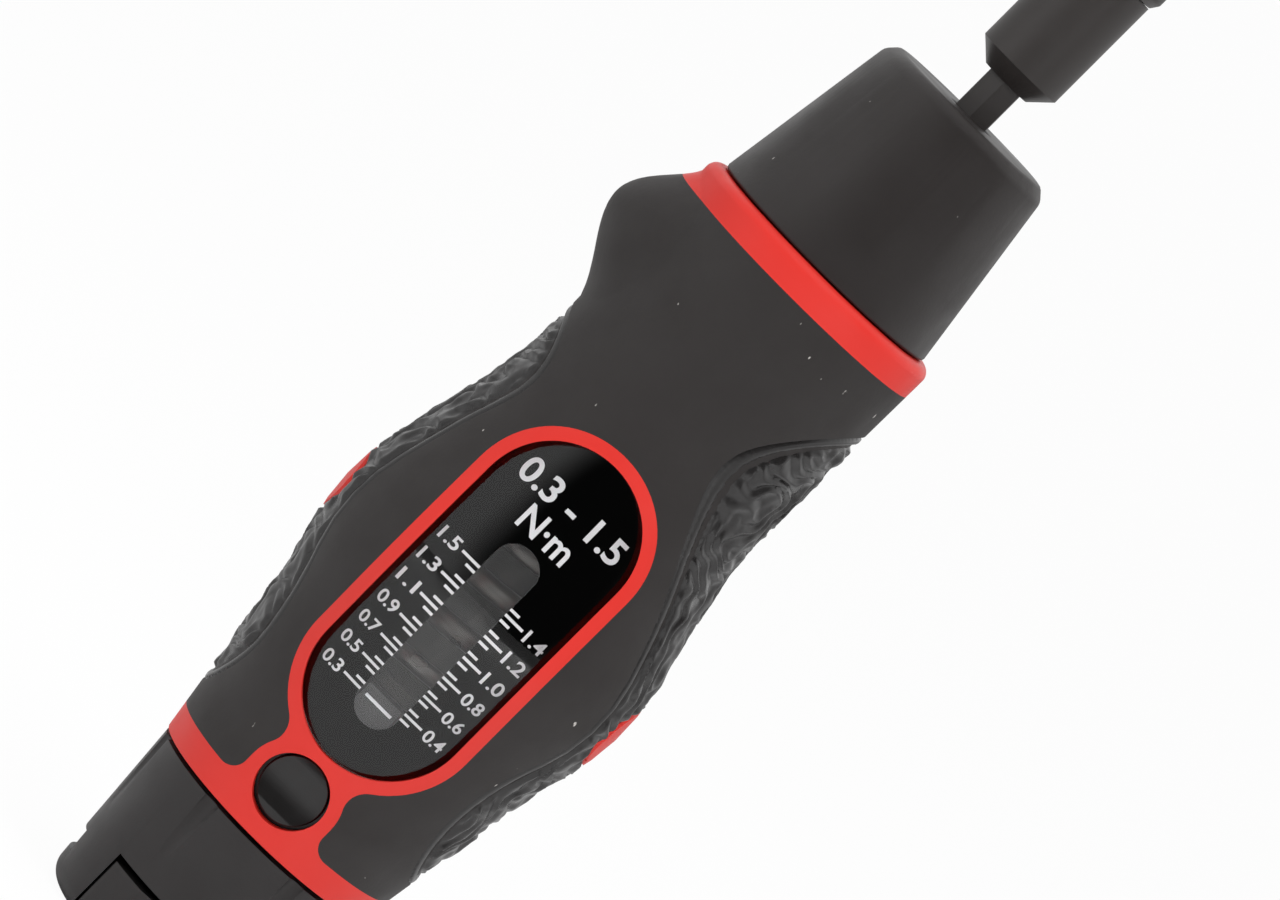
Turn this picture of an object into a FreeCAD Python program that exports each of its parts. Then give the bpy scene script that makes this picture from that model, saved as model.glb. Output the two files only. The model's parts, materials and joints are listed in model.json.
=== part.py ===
"""Adjustable torque screwdriver with a sight window, as a parametric FreeCAD document.

The tool stands on its setting knob: +Z runs along the tool's axis from the knob to the bit,
-Y is the front, where the window and the push button are, and +X is to the right seen from there.
The origin is the centre of the knob's flat end. All sizes are in millimetres.
"""
import FreeCAD, Part
import math
import os
import re

import Sketcher

SIZES = {
    # Setting knob
    "knob_len": 18.6,
    "knob_end_r": 12.2,
    "knob_front_r": 13.65,
    "knob_edge": 2.2,
    "knob_cavity_r": 11.3,
    "knob_hub_r": 5.8,
    "knob_hub_recess": 0.4,
    "knob_web_len": 4.5,
    "knob_seat": 1.0,
    "knob_gap": 0.5,
    "flute_r": 1.4,
    "flute_depth": 0.5,
    "flute_len": 10.2,
    # End cap that snaps into the knob
    "cap_r": 9.4,
    "cap_len": 1.8,
    "cap_room": 8.0,
    "cap_gap": 0.1,
    "tongue_cut_width": 15.6,
    "tongue_cut_top": 7.9,
    "tongue_relief": 0.8,
    "tongue_seam": 0.3,
    "tongue_wall": 2.0,
    "scoop_r": 9.0,
    "scoop_depth": 1.0,
    "scoop_at": 5.2,
    "snap_width": 7.8,
    "snap_height": 2.7,
    "snap_at": 3.3,
    "snap_gap": 0.1,
    "snap_recess": 0.9,
    "snap_leg": 1.6,
    # Handle shell and soft grip, outside
    "band_len": 3.0,
    "grip_len": 72.7,
    "ring_len": 3.5,
    "ring_edge": 1.2,
    "ring_r": 15.2,
    "rear_r": 13.85,
    "palm_r": 17.15,
    "palm_at": 21.7,
    "belly_r": 19.8,
    "belly_at": 30.7,
    "waist_r": 14.9,
    "waist_back": 23.8,
    "palm_reach": 2.7,
    "belly_reach": 6.3,
    "waist_reach": 4.9,
    "hump_height": 4.75,
    "hump_back": 5.6,
    "hump_rear_len": 11.8,
    "hump_front_len": 8.6,
    "hump_spread": 50.0,
    "hump_sink": 0.35,
    # Side pads and the red badges on them
    "pad_sink": 0.35,
    "pad_low": 5.6,
    "left_pad_back": 16.7,
    "right_pad_back": 5.7,
    "pad_half_width": 9.6,
    "thumb_half_width": 12.8,
    "badge_at": 30.6,
    "badge_height": 7.8,
    "badge_width": 10.2,
    # Handle shell, inside
    "shell_r": 12.2,
    "shell_bore_r": 9.5,
    "nose_seat_r": 10.9,
    "nose_seat_len": 9.5,
    "nose_seat_gap": 0.2,
    # Front of the shell: button boss, window frame and the necks between them
    "button_at": 6.0,
    "boss_r": 5.4,
    "skirt_r": 1.9,
    "window_gap": 14.0,
    "window_span": 22.8,
    "window_r": 8.85,
    "frame_wall": 1.4,
    "neck_r": 2.5,
    "plate_seat_y": 11.6,
    "scale_plate_wall": 0.8,
    "lens_gap": 0.06,
    "lens_recess": 0.7,
    "sight_width": 4.5,
    "sight_at": 16.0,
    "sight_len": 23.4,
    "channel_margin": 0.4,
    # Push button
    "button_r": 3.55,
    "button_ring_gap": 0.4,
    "button_face": 13.4,
    "button_ledge": 12.2,
    "button_flange_r": 4.3,
    "button_flange_wall": 0.8,
    "button_flange_gap": 0.1,
    "button_well_gap": 0.25,
    "button_dish_r": 7.5,
    "button_dish": 0.45,
    "stem_r": 1.3,
    "stem_gap": 0.3,
    "stem_tip": 0.4,
    "stem_hole_gap": 0.3,
    "button_spring_r": 2.2,
    "button_spring_wire": 0.2,
    "button_spring_len": 0.6,
    # Mechanism tube and what closes its rear end
    "tube_r": 9.4,
    "tube_bore_r": 8.4,
    "tube_inset": 0.3,
    "tube_setback": 0.9,
    "key_slot_width": 2.6,
    "key_slot_len": 12.0,
    "clip_inset": 0.2,
    "clip_len": 0.6,
    "clip_bite": 0.45,
    "clip_ring": 1.7,
    "bulkhead_len": 2.0,
    "washer_len": 0.5,
    "washer_r": 6.2,
    "thrust_gap": 0.1,
    # Setting screw, index ring and nut
    "shank_r": 3.0,
    "shank_flat": 2.3,
    "screw_r": 3.4,
    "screw_chamfer": 0.6,
    "screw_over": 1.9,
    "shoulder_r": 4.6,
    "shoulder_len": 1.2,
    "run_gap": 0.06,
    "index_r": 6.7,
    "index_len": 4.2,
    "index_notches": 10,
    "notch_r": 1.45,
    "nut_at": 14.7,
    "nut_len": 5.0,
    "nut_gap": 0.1,
    "nut_boss_r": 5.8,
    "nut_boss_len": 1.5,
    "nut_travel": 16.5,
    "pointer_width": 4.0,
    "pointer_len": 4.6,
    "pointer_face": 11.4,
    "pointer_root": 6.6,
    "line_width": 3.2,
    "line_height": 0.35,
    "line_at": 3.6,
    "line_depth": 0.2,
    "spring_coil_r": 7.1,
    "spring_wire": 2.0,
    "spring_turns": 10,
    # Clutch and output spindle
    "plate_len": 4.1,
    "plate_gap": 0.6,
    "plate_guide_r": 5.6,
    "plate_guide_len": 3.0,
    "key_width": 2.4,
    "key_reach": 0.9,
    "ball_r": 1.25,
    "ball_circle_r": 5.6,
    "ball_gap": 0.03,
    "detent_depth": 0.55,
    "disc_r": 8.2,
    "disc_len": 3.0,
    "disc_washer_len": 0.6,
    "disc_washer_r": 7.8,
    "pilot_r": 2.5,
    "pilot_len": 6.0,
    "spindle_r": 4.0,
    "spindle_len": 18.8,
    "bush_flange_len": 2.0,
    "bush_r": 6.0,
    "bush_len": 14.0,
    # Nose cone
    "nose_gap": 0.15,
    "nose_len": 20.65,
    "nose_rear_r": 13.8,
    "nose_front_r": 10.95,
    "nose_bevel_len": 1.2,
    "nose_bevel": 1.1,
    "nose_cavity_len": 15.5,
    "nose_hole_r": 2.6,
    # Hexagonal shaft, bit holder and its collar
    "shaft_flats": 4.0,
    "shaft_reach": 4.9,
    "shaft_grip": 10.0,
    "holder_r": 4.9,
    "holder_rear_r": 2.8,
    "holder_cone_len": 2.0,
    "holder_body_len": 13.1,
    "holder_neck_r": 4.3,
    "holder_neck_len": 10.9,
    "holder_lip": 0.4,
    "bit_flats": 6.45,
    "bit_depth": 10.4,
    "magnet_r": 2.9,
    "magnet_len": 2.0,
    "lock_ball_r": 0.8,
    "lock_ball_at": 1.9,
    "collar_r": 5.5,
    "collar_gap": 0.1,
    "collar_cone_len": 0.9,
    "collar_land_len": 3.0,
    "collar_len": 9.4,
    "collar_shell": 0.55,
    "collar_lip": 0.3,
    "collar_spring_wire": 0.34,
    "holder_clip_at": 8.7,
    "holder_clip_len": 0.6,
    "holder_clip_bite": 0.25,
    "holder_clip_r": 4.88,
    # Fixing screw of the knob
    "fixing_r": 1.5,
    "fixing_len": 8.0,
    "fixing_gap": 0.1,
    "fixing_tail": 0.6,
    "fixing_head_r": 2.7,
    "fixing_head_len": 1.7,
    "fixing_hex": 2.0,
    "fixing_hex_len": 1.0,
}

FLUTES = 7
FLUTE_START = -111.4
BALLS = 3
DETENTS = 12
HUMP_SIDE = 180.0
OUTSIDE = 40.0
INSIDE = 4.0

# Outline of a side pad: share of its length, then share of its half width
PAD_REAR = ((0.0, 0.0), (0.035, 0.6), (0.13, 0.96), (0.3, 1.0))
PAD_MIDDLE = ((0.58, 0.15), (0.74, 0.8), (0.87, 1.0))
PAD_FRONT = ((0.955, 0.72), (1.0, 0.0))

# Heights of the main steps along the axis, as expressions on the sheet
HANDLE = "knob_len + knob_gap"
BAND_END = HANDLE + " + band_len"
RING = BAND_END + " + grip_len"
FRONT = RING + " + ring_len"
NOSE = FRONT + " + nose_gap"
NOSE_END = NOSE + " + nose_len"
BUTTON = HANDLE + " + button_at"
WINDOW_LOW = BUTTON + " + window_gap"
WINDOW_HIGH = WINDOW_LOW + " + window_span"
TUBE = HANDLE + " + tube_inset"
TUBE_END = FRONT + " - tube_setback"
CLIP = TUBE + " + clip_inset"
BULKHEAD = CLIP + " + clip_len"
WASHER = BULKHEAD + " + bulkhead_len"
INDEX = WASHER + " + washer_len + thrust_gap"
NUT = HANDLE + " + nut_at"
SPRING = NUT + " + nut_len"
BUSH = TUBE_END + " - bush_flange_len"
DISC = BUSH + " - disc_washer_len - thrust_gap - disc_len"
PLATE = DISC + " - plate_gap - plate_len"
BALL = DISC + " + detent_depth - ball_r"
HOLDER = NOSE_END + " + shaft_reach"
COLLAR = HOLDER + " + holder_cone_len + holder_body_len"
HOLDER_END = COLLAR + " + holder_neck_len"
SCREW = "cap_room + knob_seat"
SEAT = "knob_web_len + cap_room"

doc = FreeCAD.newDocument("TorqueScrewdriver")
sheet = doc.addObject("Spreadsheet::Sheet", "Sizes")
for row, (alias, number) in enumerate(SIZES.items(), start=1):
    sheet.set("A%d" % row, alias)
    sheet.set("B%d" % row, str(number))
    sheet.setAlias("B%d" % row, alias)
doc.recompute()

NODES = []


def sized(text):
    """Give every alias in a size expression its full name on the sheet."""
    return re.sub(r"[a-z_]+", lambda word: "Sizes." + word.group() if word.group() in SIZES else word.group(), text)


def size(alias):
    """Read one size back from the sheet as a number."""
    return float(getattr(sheet, alias))


def bind(item, **properties):
    """Tie properties of an object to size expressions."""
    for name, text in properties.items():
        item.setExpression(name, sized(text))
    return item


def place(item, x="0", y="0", z="0", turn=None):
    """Put an object at a point given by size expressions, turned by (axis, degrees)."""
    if turn is not None:
        item.Placement = FreeCAD.Placement(FreeCAD.Vector(), FreeCAD.Rotation(FreeCAD.Vector(*turn[0]), turn[1]))
    for axis, text in (("x", x), ("y", y), ("z", z)):
        if text != "0":
            item.setExpression("Placement.Base." + axis, sized(text))
    return item


def cylinder(label, radius, height, **where):
    """Make a cylinder that stands on its placement."""
    item = bind(doc.addObject("Part::Cylinder", label), Radius=radius, Height=height)
    return place(item, **where)


def outward(label, radius, start, end, x="0", z="0"):
    """Make a cylinder that runs towards the front from y = -start to y = -end."""
    length = "(%s) - (%s)" % (end, start)
    return cylinder(label, radius, length, x=x, y="-(%s)" % start, z=z, turn=((1, 0, 0), 90))


def block(label, width, start, end, low, high, x="0"):
    """Make a box centred on x, from y = -start to y = -end and from z = low to z = high."""
    item = doc.addObject("Part::Box", label)
    bind(item, Width="(%s) - (%s)" % (end, start), Length=width, Height="(%s) - (%s)" % (high, low))
    return place(item, x="(%s) - (%s) / 2" % (x, width), y="-(%s)" % end, z=low)


def prism(label, flats, height, z="0", corner_to_front=True):
    """Make a hexagonal bar of a given width across flats."""
    item = doc.addObject("Part::Prism", label)
    item.Polygon = 6
    bind(item, Circumradius="(%s) / sqrt(3)" % flats, Height=height)
    return place(item, z=z, turn=((0, 0, 1), 30 if corner_to_front else 0))


def fuse(label, *items):
    """Join several objects."""
    joined = doc.addObject("Part::MultiFuse", label)
    joined.Shapes = list(items)
    return joined


def cut(label, base, *tools):
    """Take one or more tools away from a base."""
    result = doc.addObject("Part::Cut", label)
    result.Base = base
    result.Tool = tools[0] if len(tools) == 1 else fuse(label + "_tools", *tools)
    return result


def common(label, *items):
    """Keep what several objects share."""
    shared = doc.addObject("Part::MultiCommon", label)
    shared.Shapes = list(items)
    return shared


def node(item):
    """Mark an object as a finished piece of the tool, named by its label."""
    NODES.append(item)
    return item


def origin_plane(body, role):
    """Find one of a body's own origin planes."""
    return [plane for plane in body.Origin.OriginFeatures if plane.Role == role][0]


def outline(body, corners):
    """Draw a closed outline of (radius, height) corners on the body's XZ plane, tied to the sheet."""
    sketch = body.newObject("Sketcher::SketchObject", body.Label + "_outline")
    sketch.AttachmentSupport = [(origin_plane(body, "XZ_Plane"), "")]
    sketch.MapMode = "FlatFace"
    count = len(corners)
    spots = [FreeCAD.Vector(2.0 + k, 1.0 + k * k, 0) for k in range(count)]
    for k in range(count):
        sketch.addGeometry(Part.LineSegment(spots[k], spots[(k + 1) % count]), False)
    for k in range(count):
        sketch.addConstraint(Sketcher.Constraint("Coincident", k, 2, (k + 1) % count, 1))
    for k, (radius, height) in enumerate(corners):
        if radius == "0":
            sketch.addConstraint(Sketcher.Constraint("PointOnObject", k, 1, -2))
        else:
            dimension = sketch.addConstraint(Sketcher.Constraint("DistanceX", -1, 1, k, 1, spots[k].x))
            sketch.setExpression("Constraints[%d]" % dimension, sized(radius))
        if height == "0":
            sketch.addConstraint(Sketcher.Constraint("PointOnObject", k, 1, -1))
        else:
            dimension = sketch.addConstraint(Sketcher.Constraint("DistanceY", -1, 1, k, 1, spots[k].y))
            sketch.setExpression("Constraints[%d]" % dimension, sized(height))
    return sketch


def turned(label, corners, z="0", rounds=()):
    """Turn a piece on the lathe from its outline, then round the corners listed as (number, radius)."""
    body = doc.addObject("PartDesign::Body", label)
    sketch = outline(body, corners)
    feature = body.newObject("PartDesign::Revolution", label + "_turn")
    feature.Profile = sketch
    feature.ReferenceAxis = (sketch, ["V_Axis"])
    feature.Angle = 360
    sketch.Visibility = False
    doc.recompute()
    for corner, radius in rounds:
        spot = sketch.Geometry[corner].StartPoint
        names = [
            "Edge%d" % (k + 1)
            for k, edge in enumerate(feature.Shape.Edges)
            if isinstance(edge.Curve, Part.Circle)
            and abs(edge.Curve.Center.z - spot.y) < 0.001
            and abs(edge.Curve.Radius - spot.x) < 0.001
        ]
        fillet = body.newObject("PartDesign::Fillet", "%s_round_%d" % (label, corner))
        fillet.Base = (feature, names)
        fillet.setExpression("Radius", sized(radius))
        doc.recompute()
        feature = fillet
    return place(body, z=z)


def coil(label, coil_radius, wire, height, turns, z="0"):
    """Wind a spring of square wire; wire is the side of its section."""
    path = doc.addObject("Part::Helix", label + "_path")
    bind(path, Radius=coil_radius, Height="(%s) - (%s)" % (height, wire), Pitch="((%s) - (%s)) / (%s)" % (height, wire, turns))
    section = doc.addObject("Part::Plane", label + "_wire")
    bind(section, Length=wire, Width=wire)
    place(section, x="(%s) - (%s) / 2" % (coil_radius, wire), z="-(%s) / 2" % wire, turn=((1, 0, 0), 90))
    spring = doc.addObject("Part::Sweep", label)
    spring.Sections = [section]
    spring.Spine = (path, ["Edge1"])
    spring.Solid = True
    spring.Frenet = True
    return place(spring, z="%s + (%s) / 2" % (z, wire))


# ---------------------------------------------------------------- outer form of the handle


def grip_end():
    """Give the height of the soft grip's front end over the handle's rear face."""
    return size("band_len") + size("grip_len")


def rounding(before, corner, after, reach):
    """Give points along the arc that rounds a corner of the handle's outline, from reach before it to reach after."""
    back = (before - corner).normalize()
    ahead = (after - corner).normalize()
    half = back.getAngle(ahead) / 2
    centre = corner + (back + ahead).normalize() * (reach / math.cos(half))
    start = corner + back * reach - centre
    end = corner + ahead * reach - centre
    radius = start.Length
    shares = (0.0, 0.25, 0.5, 0.75, 1.0)
    return [centre + (start * (1 - share) + end * share).normalize() * radius for share in shares]


def barrel(label, sink):
    """Turn the handle's outer form, sunk below the surface by a given depth."""
    length = grip_end() + size("ring_len")
    corners = [
        FreeCAD.Vector(size("rear_r") - sink, 0, 0),
        FreeCAD.Vector(size("palm_r") - sink, 0, size("palm_at")),
        FreeCAD.Vector(size("belly_r") - sink, 0, size("belly_at")),
        FreeCAD.Vector(size("waist_r") - sink, 0, grip_end() - size("waist_back")),
        FreeCAD.Vector(size("ring_r") - sink, 0, length),
    ]
    points = [corners[0]]
    for k, reach in enumerate(("palm_reach", "belly_reach", "waist_reach"), start=1):
        points += rounding(corners[k - 1], corners[k], corners[k + 1], size(reach))
    brow = corners[-1] - FreeCAD.Vector(0, 0, size("ring_edge"))
    drop = size("ring_edge") * (1 - math.sqrt(0.5))
    bend = Part.Arc(brow, corners[-1] - FreeCAD.Vector(drop, 0, drop), corners[-1] - FreeCAD.Vector(size("ring_edge"), 0, 0))
    side = Part.makePolygon(points + [brow])
    rest = Part.makePolygon([bend.EndPoint, FreeCAD.Vector(0, 0, length), FreeCAD.Vector(0, 0, 0), corners[0]])
    face = Part.Face(Part.Wire(side.Edges + [bend.toShape()] + rest.Edges))
    item = doc.addObject("Part::Feature", label)
    item.Shape = face.revolve(FreeCAD.Vector(), FreeCAD.Vector(0, 0, 1), 360)
    return place(item, z=HANDLE, turn=((0, 0, 1), 90))


def hump_rise(height):
    """Give the hump's rise over the barrel at a height from the handle's rear face."""
    peak = grip_end() - size("hump_back")
    reach = size("hump_rear_len") if height < peak else size("hump_front_len")
    share = (height - peak) / reach
    rise = size("hump_height") * math.cos(math.pi / 2 * share) ** 2 if abs(share) < 1 else 0.0
    return rise - size("hump_sink") * share ** 2


def hump_section(height):
    """Draw one section of the anti-roll hump: its crest curve closed by a chord inside the barrel."""
    waist = grip_end() - size("waist_back")
    slope = (size("ring_r") - size("waist_r")) / (grip_end() + size("ring_len") - waist)
    base = size("waist_r") + (height - waist) * slope
    crest = []
    steps = 12
    for k in range(steps + 1):
        share = 2.0 * k / steps - 1.0
        swell = math.cos(math.pi / 2 * share) ** 2
        radius = base + (hump_rise(height) + size("hump_sink")) * swell - size("hump_sink")
        angle = math.radians(HUMP_SIDE + share * size("hump_spread"))
        crest.append(FreeCAD.Vector(radius * math.cos(angle), radius * math.sin(angle), height))
    curve = Part.BSplineCurve()
    curve.interpolate(crest)
    return Part.Wire([curve.toShape(), Part.makeLine(crest[-1], crest[0])])


def hump():
    """Loft the hump that stops the tool from rolling, in front of the left pad."""
    peak = grip_end() - size("hump_back")
    rear = [peak - size("hump_rear_len") * share for share in (1.0, 0.65, 0.3, 0.0)]
    front = [peak + size("hump_front_len") * share for share in (0.35, 0.7, 1.0)]
    item = doc.addObject("Part::Feature", "hump")
    item.Shape = Part.makeLoft([hump_section(height) for height in rear + front], True, False)
    return place(item, z=HANDLE)


def pad_prism(label, side, back, front_width):
    """Make the prism of a side pad's outline, seen along X, on the right (+1) or the left (-1)."""
    low = size("pad_low")
    length = grip_end() - back - low
    width = size("pad_half_width")
    half = [(low + length * share, width * part) for share, part in PAD_REAR]
    half += [(low + length * share, width + (front_width - width) * part) for share, part in PAD_MIDDLE]
    half += [(low + length * share, front_width * part) for share, part in PAD_FRONT]
    points = [FreeCAD.Vector(side * INSIDE, -y, z) for z, y in half]
    points += [FreeCAD.Vector(side * INSIDE, y, z) for z, y in reversed(half[1:-1])]
    curve = Part.BSplineCurve()
    curve.interpolate(Points=points, PeriodicFlag=True)
    item = doc.addObject("Part::Feature", label)
    item.Shape = Part.Face(Part.Wire([curve.toShape()])).extrude(FreeCAD.Vector(side * OUTSIDE, 0, 0))
    return place(item, z=HANDLE)


form = fuse("handle_form", barrel("barrel", 0.0), hump())

# Red zones of the form: rear band, front ring, badges, window frame, button boss and necks
band_zone = cylinder("band_zone", str(OUTSIDE), "band_len", z=HANDLE, turn=((0, 0, 1), 100))
ring_zone = cylinder("ring_zone", str(OUTSIDE), "ring_len", z=RING, turn=((0, 0, 1), 100))

badge_outline = doc.addObject("Part::Ellipse", "badge_outline")
bind(badge_outline, MajorRadius="badge_width / 2", MinorRadius="badge_height / 2")
place(badge_outline, z=HANDLE + " + badge_at", turn=((1, 1, 1), 120))
badge_zone = doc.addObject("Part::Extrusion", "badge_zone")
badge_zone.Base = badge_outline
badge_zone.DirMode = "Custom"
badge_zone.Dir = FreeCAD.Vector(1, 0, 0)
badge_zone.LengthFwd = OUTSIDE
badge_zone.LengthRev = OUTSIDE
badge_zone.Solid = True


def stadium(label, radius, start, end, low, high):
    """Make a bar with round ends that runs towards the front; low and high are its end centres."""
    lower = outward(label + "_lower", radius, start, end, z=low)
    upper = outward(label + "_upper", radius, start, end, z=high)
    return fuse(label, lower, upper, block(label + "_middle", "2 * (%s)" % radius, start, end, low, high))


def mirrored_pins(label, radius, x, z):
    """Make two bars towards the front, one each side of the middle, to cut concave corners."""
    left = outward(label + "_left", radius, "0", str(OUTSIDE), x="-(%s)" % x, z=z)
    return left, outward(label + "_right", radius, "0", str(OUTSIDE), x=x, z=z)


FRAME_R = "(window_r + frame_wall)"
NECK_FAR = "(window_r + frame_wall + neck_r)"
NECK_NEAR = "(boss_r + neck_r)"
NECK_DROP = "((window_gap ^ 2 + %s ^ 2 - %s ^ 2) / (2 * window_gap))" % (NECK_FAR, NECK_NEAR)
NECK_X = "sqrt(%s ^ 2 - %s ^ 2)" % (NECK_FAR, NECK_DROP)

frame_zone = stadium("frame_zone", FRAME_R, "0", str(OUTSIDE), WINDOW_LOW, WINDOW_HIGH)
neck_low = BUTTON + " + (window_gap - %s) * boss_r / %s" % (NECK_DROP, NECK_NEAR)
neck_high = WINDOW_LOW + " - %s * %s / %s" % (NECK_DROP, FRAME_R, NECK_FAR)
neck_block = block("neck_block", "2 * " + NECK_X, "0", str(OUTSIDE), neck_low, neck_high)
neck_zone = cut("neck_zone", neck_block, *mirrored_pins("neck_corner", "neck_r", NECK_X, WINDOW_LOW + " - " + NECK_DROP))
boss_zone = outward("boss_zone", "boss_r", "0", str(OUTSIDE), z=BUTTON)
boss_foot = block("boss_foot", "2 * boss_r", "0", str(OUTSIDE), HANDLE, BUTTON)
skirt_block = block("skirt_block", "2 * (boss_r + skirt_r)", "0", str(OUTSIDE), HANDLE, BAND_END + " + skirt_r")
skirt_zone = cut("skirt_zone", skirt_block, *mirrored_pins("skirt_corner", "skirt_r", "boss_r + skirt_r", BAND_END + " + skirt_r"))
red_zone = fuse("red_zone", band_zone, ring_zone, badge_zone, frame_zone, neck_zone, boss_zone, boss_foot, skirt_zone)

# ---------------------------------------------------------------- handle shell and soft grip

SHELL_LEN = "band_len + grip_len + ring_len"
CHANNEL_WIDTH = "pointer_width + 2 * channel_margin"
CHANNEL_LOW = NUT + " - channel_margin"
CHANNEL_HIGH = HANDLE + " + sight_at + sight_len + channel_margin"

shell_core = cylinder("shell_core", "shell_r", SHELL_LEN, z=HANDLE, turn=((0, 0, 1), 80))
shell_blank = fuse("shell_blank", shell_core, common("shell_relief", form, red_zone))
node(cut(
    "handle_shell",
    shell_blank,
    cylinder("shell_bore", "shell_bore_r", SHELL_LEN, z=HANDLE),
    cylinder("nose_seat", "nose_seat_r", "nose_seat_len", z=FRONT + " - nose_seat_len"),
    stadium("window_pocket", "window_r", "plate_seat_y", str(OUTSIDE), WINDOW_LOW, WINDOW_HIGH),
    block("pointer_channel", CHANNEL_WIDTH, "0", "plate_seat_y", CHANNEL_LOW, CHANNEL_HIGH),
    outward("button_hole", "button_r + button_ring_gap", "button_ledge", str(OUTSIDE), z=BUTTON),
    outward("button_well", "button_flange_r + button_well_gap", "0", "button_ledge", z=BUTTON),
))

grip_blank = cut("grip_blank", form, red_zone, shell_core)
pads = fuse(
    "pads",
    pad_prism("left_pad", -1, size("left_pad_back"), size("pad_half_width")),
    pad_prism("right_pad", 1, size("right_pad_back"), size("thumb_half_width")),
)
pad_cutter = cut("pad_cutter", pads, barrel("pad_floor", size("pad_sink")))
node(cut("grip_sleeve", grip_blank, pad_cutter))

# ---------------------------------------------------------------- window: scale plate and lens

SIGHT_R = "(sight_width / 2)"
PLATE_R = "window_r - lens_gap"
PLATE_FRONT = "plate_seat_y + scale_plate_wall"

plate_blank = stadium("plate_blank", PLATE_R, "plate_seat_y", PLATE_FRONT, WINDOW_LOW, WINDOW_HIGH)
sight_low = HANDLE + " + sight_at + " + SIGHT_R
sight_high = HANDLE + " + sight_at + sight_len - " + SIGHT_R
sight = stadium("sight", SIGHT_R, "0", str(OUTSIDE), sight_low, sight_high)
node(cut("scale_plate", plate_blank, sight))

lens_blank = stadium("lens_blank", PLATE_R, PLATE_FRONT, str(OUTSIDE), WINDOW_LOW, WINDOW_HIGH)
node(common("window_lens", lens_blank, barrel("lens_front", size("lens_recess"))))

# ---------------------------------------------------------------- setting knob and its end cap


def beam(label, half_width, low, high):
    """Make a bar that runs from side to side along X, to cut or make what lies at both sides."""
    return block(label, str(2 * OUTSIDE), "-(%s)" % half_width, half_width, low, high)


def knob_form(label):
    """Turn the knob's outer form with its rounded rear edge."""
    corners = [("0", "0"), ("knob_end_r", "0"), ("knob_front_r", "knob_len"), ("0", "knob_len")]
    return turned(label, corners, rounds=[(1, "knob_edge")])


def shank_flat(label):
    """Make the block whose face is the flat that keys the setting screw to the knob."""
    return block(label, "4 * shank_r", "-2 * shank_r", "-shank_flat", SCREW, "knob_len - knob_hub_recess")


FLUTE_X = "(knob_front_r - flute_depth + flute_r)"
FADE_R = "(knob_front_r - (knob_front_r - knob_end_r) * flute_len / knob_len)"
FLUTE_OVER = 1.0

flutes = []
for k in range(FLUTES):
    angle = math.radians(FLUTE_START + 360.0 / FLUTES * k)
    flute = doc.addObject("Part::Cone", "flute_%d" % k)
    bind(flute, Radius1="%s - %s" % (FLUTE_X, FADE_R), Radius2="flute_r", Height="flute_len")
    place(flute, "%s * %.9f" % (FLUTE_X, math.cos(angle)), "%s * %.9f" % (FLUTE_X, math.sin(angle)), "knob_len - flute_len")
    flutes.append(flute)

knob_cavity = cut(
    "knob_cavity",
    cylinder("knob_cavity_wall", "knob_cavity_r", "knob_len", z=SEAT),
    cylinder("knob_hub", "knob_hub_r", "knob_len - knob_hub_recess - (%s)" % SEAT, z=SEAT),
)
shaft_socket = cut(
    "shaft_socket",
    cylinder("shaft_socket_bore", "shank_r + run_gap", "knob_len", z=SCREW),
    shank_flat("shaft_socket_flat"),
)
node(cut(
    "setting_knob",
    knob_form("knob_blank"),
    knob_cavity,
    shaft_socket,
    cylinder("cap_space", "cap_r + cap_gap", "cap_room"),
    cylinder("fixing_hole", "fixing_r + fixing_gap", "2 * knob_seat", z="cap_room - knob_seat / 2"),
    block("tongue_cut", "tongue_cut_width", "cap_r / 2", str(OUTSIDE), "0", "tongue_cut_top"),
    beam("snap_slots", "snap_width / 2", "snap_at", "snap_at + snap_height"),
    *flutes,
))

LUG_R = "knob_end_r - snap_recess"
tongue_blank = cut(
    "tongue_blank",
    block("tongue_block", "tongue_cut_width - 2 * tongue_seam", "cap_r / 2", str(OUTSIDE), "0", "tongue_cut_top - tongue_relief"),
    cylinder("tongue_back", "knob_end_r - tongue_wall", "cap_room", z="cap_len"),
)
snap_legs = common(
    "snap_legs",
    beam("snap_leg_beam", "snap_width / 2 - snap_gap", "cap_len / 2", "snap_at + snap_height - snap_gap"),
    cylinder("snap_leg_wall", "cap_r", "cap_room"),
)
snap_lugs = common(
    "snap_lugs",
    beam("snap_lug_beam", "snap_width / 2 - snap_gap", "snap_at + snap_gap", "snap_at + snap_height - snap_gap"),
    cylinder("snap_lug_wall", LUG_R, "cap_room"),
)
snaps = cut("snaps", fuse("snap_blank", snap_legs, snap_lugs), cylinder("snap_inside", "cap_r - snap_leg", "cap_room"))
scoop = bind(doc.addObject("Part::Sphere", "thumb_scoop"), Radius="scoop_r")
place(scoop, y="-(knob_end_r + scoop_r - scoop_depth)", z="scoop_at")
cap_blank = fuse(
    "cap_blank",
    cylinder("cap_disc", "cap_r", "cap_len"),
    common("cap_tongue", knob_form("cap_form"), tongue_blank),
    snaps,
)
node(cut("end_cap", cap_blank, scoop))

fixing_screw = turned("fixing_screw_blank", [
    ("0", "0"),
    ("fixing_head_r", "0"),
    ("fixing_head_r", "fixing_head_len"),
    ("fixing_r", "fixing_head_len"),
    ("fixing_r", "fixing_head_len + fixing_len"),
    ("0", "fixing_head_len + fixing_len"),
], z="cap_room - fixing_head_len")
fixing_hex = prism("fixing_hex_recess", "fixing_hex", "fixing_hex_len", z="cap_room - fixing_head_len")
node(cut("knob_screw", fixing_screw, fixing_hex))

# ---------------------------------------------------------------- setting screw, index ring, bulkhead

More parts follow.
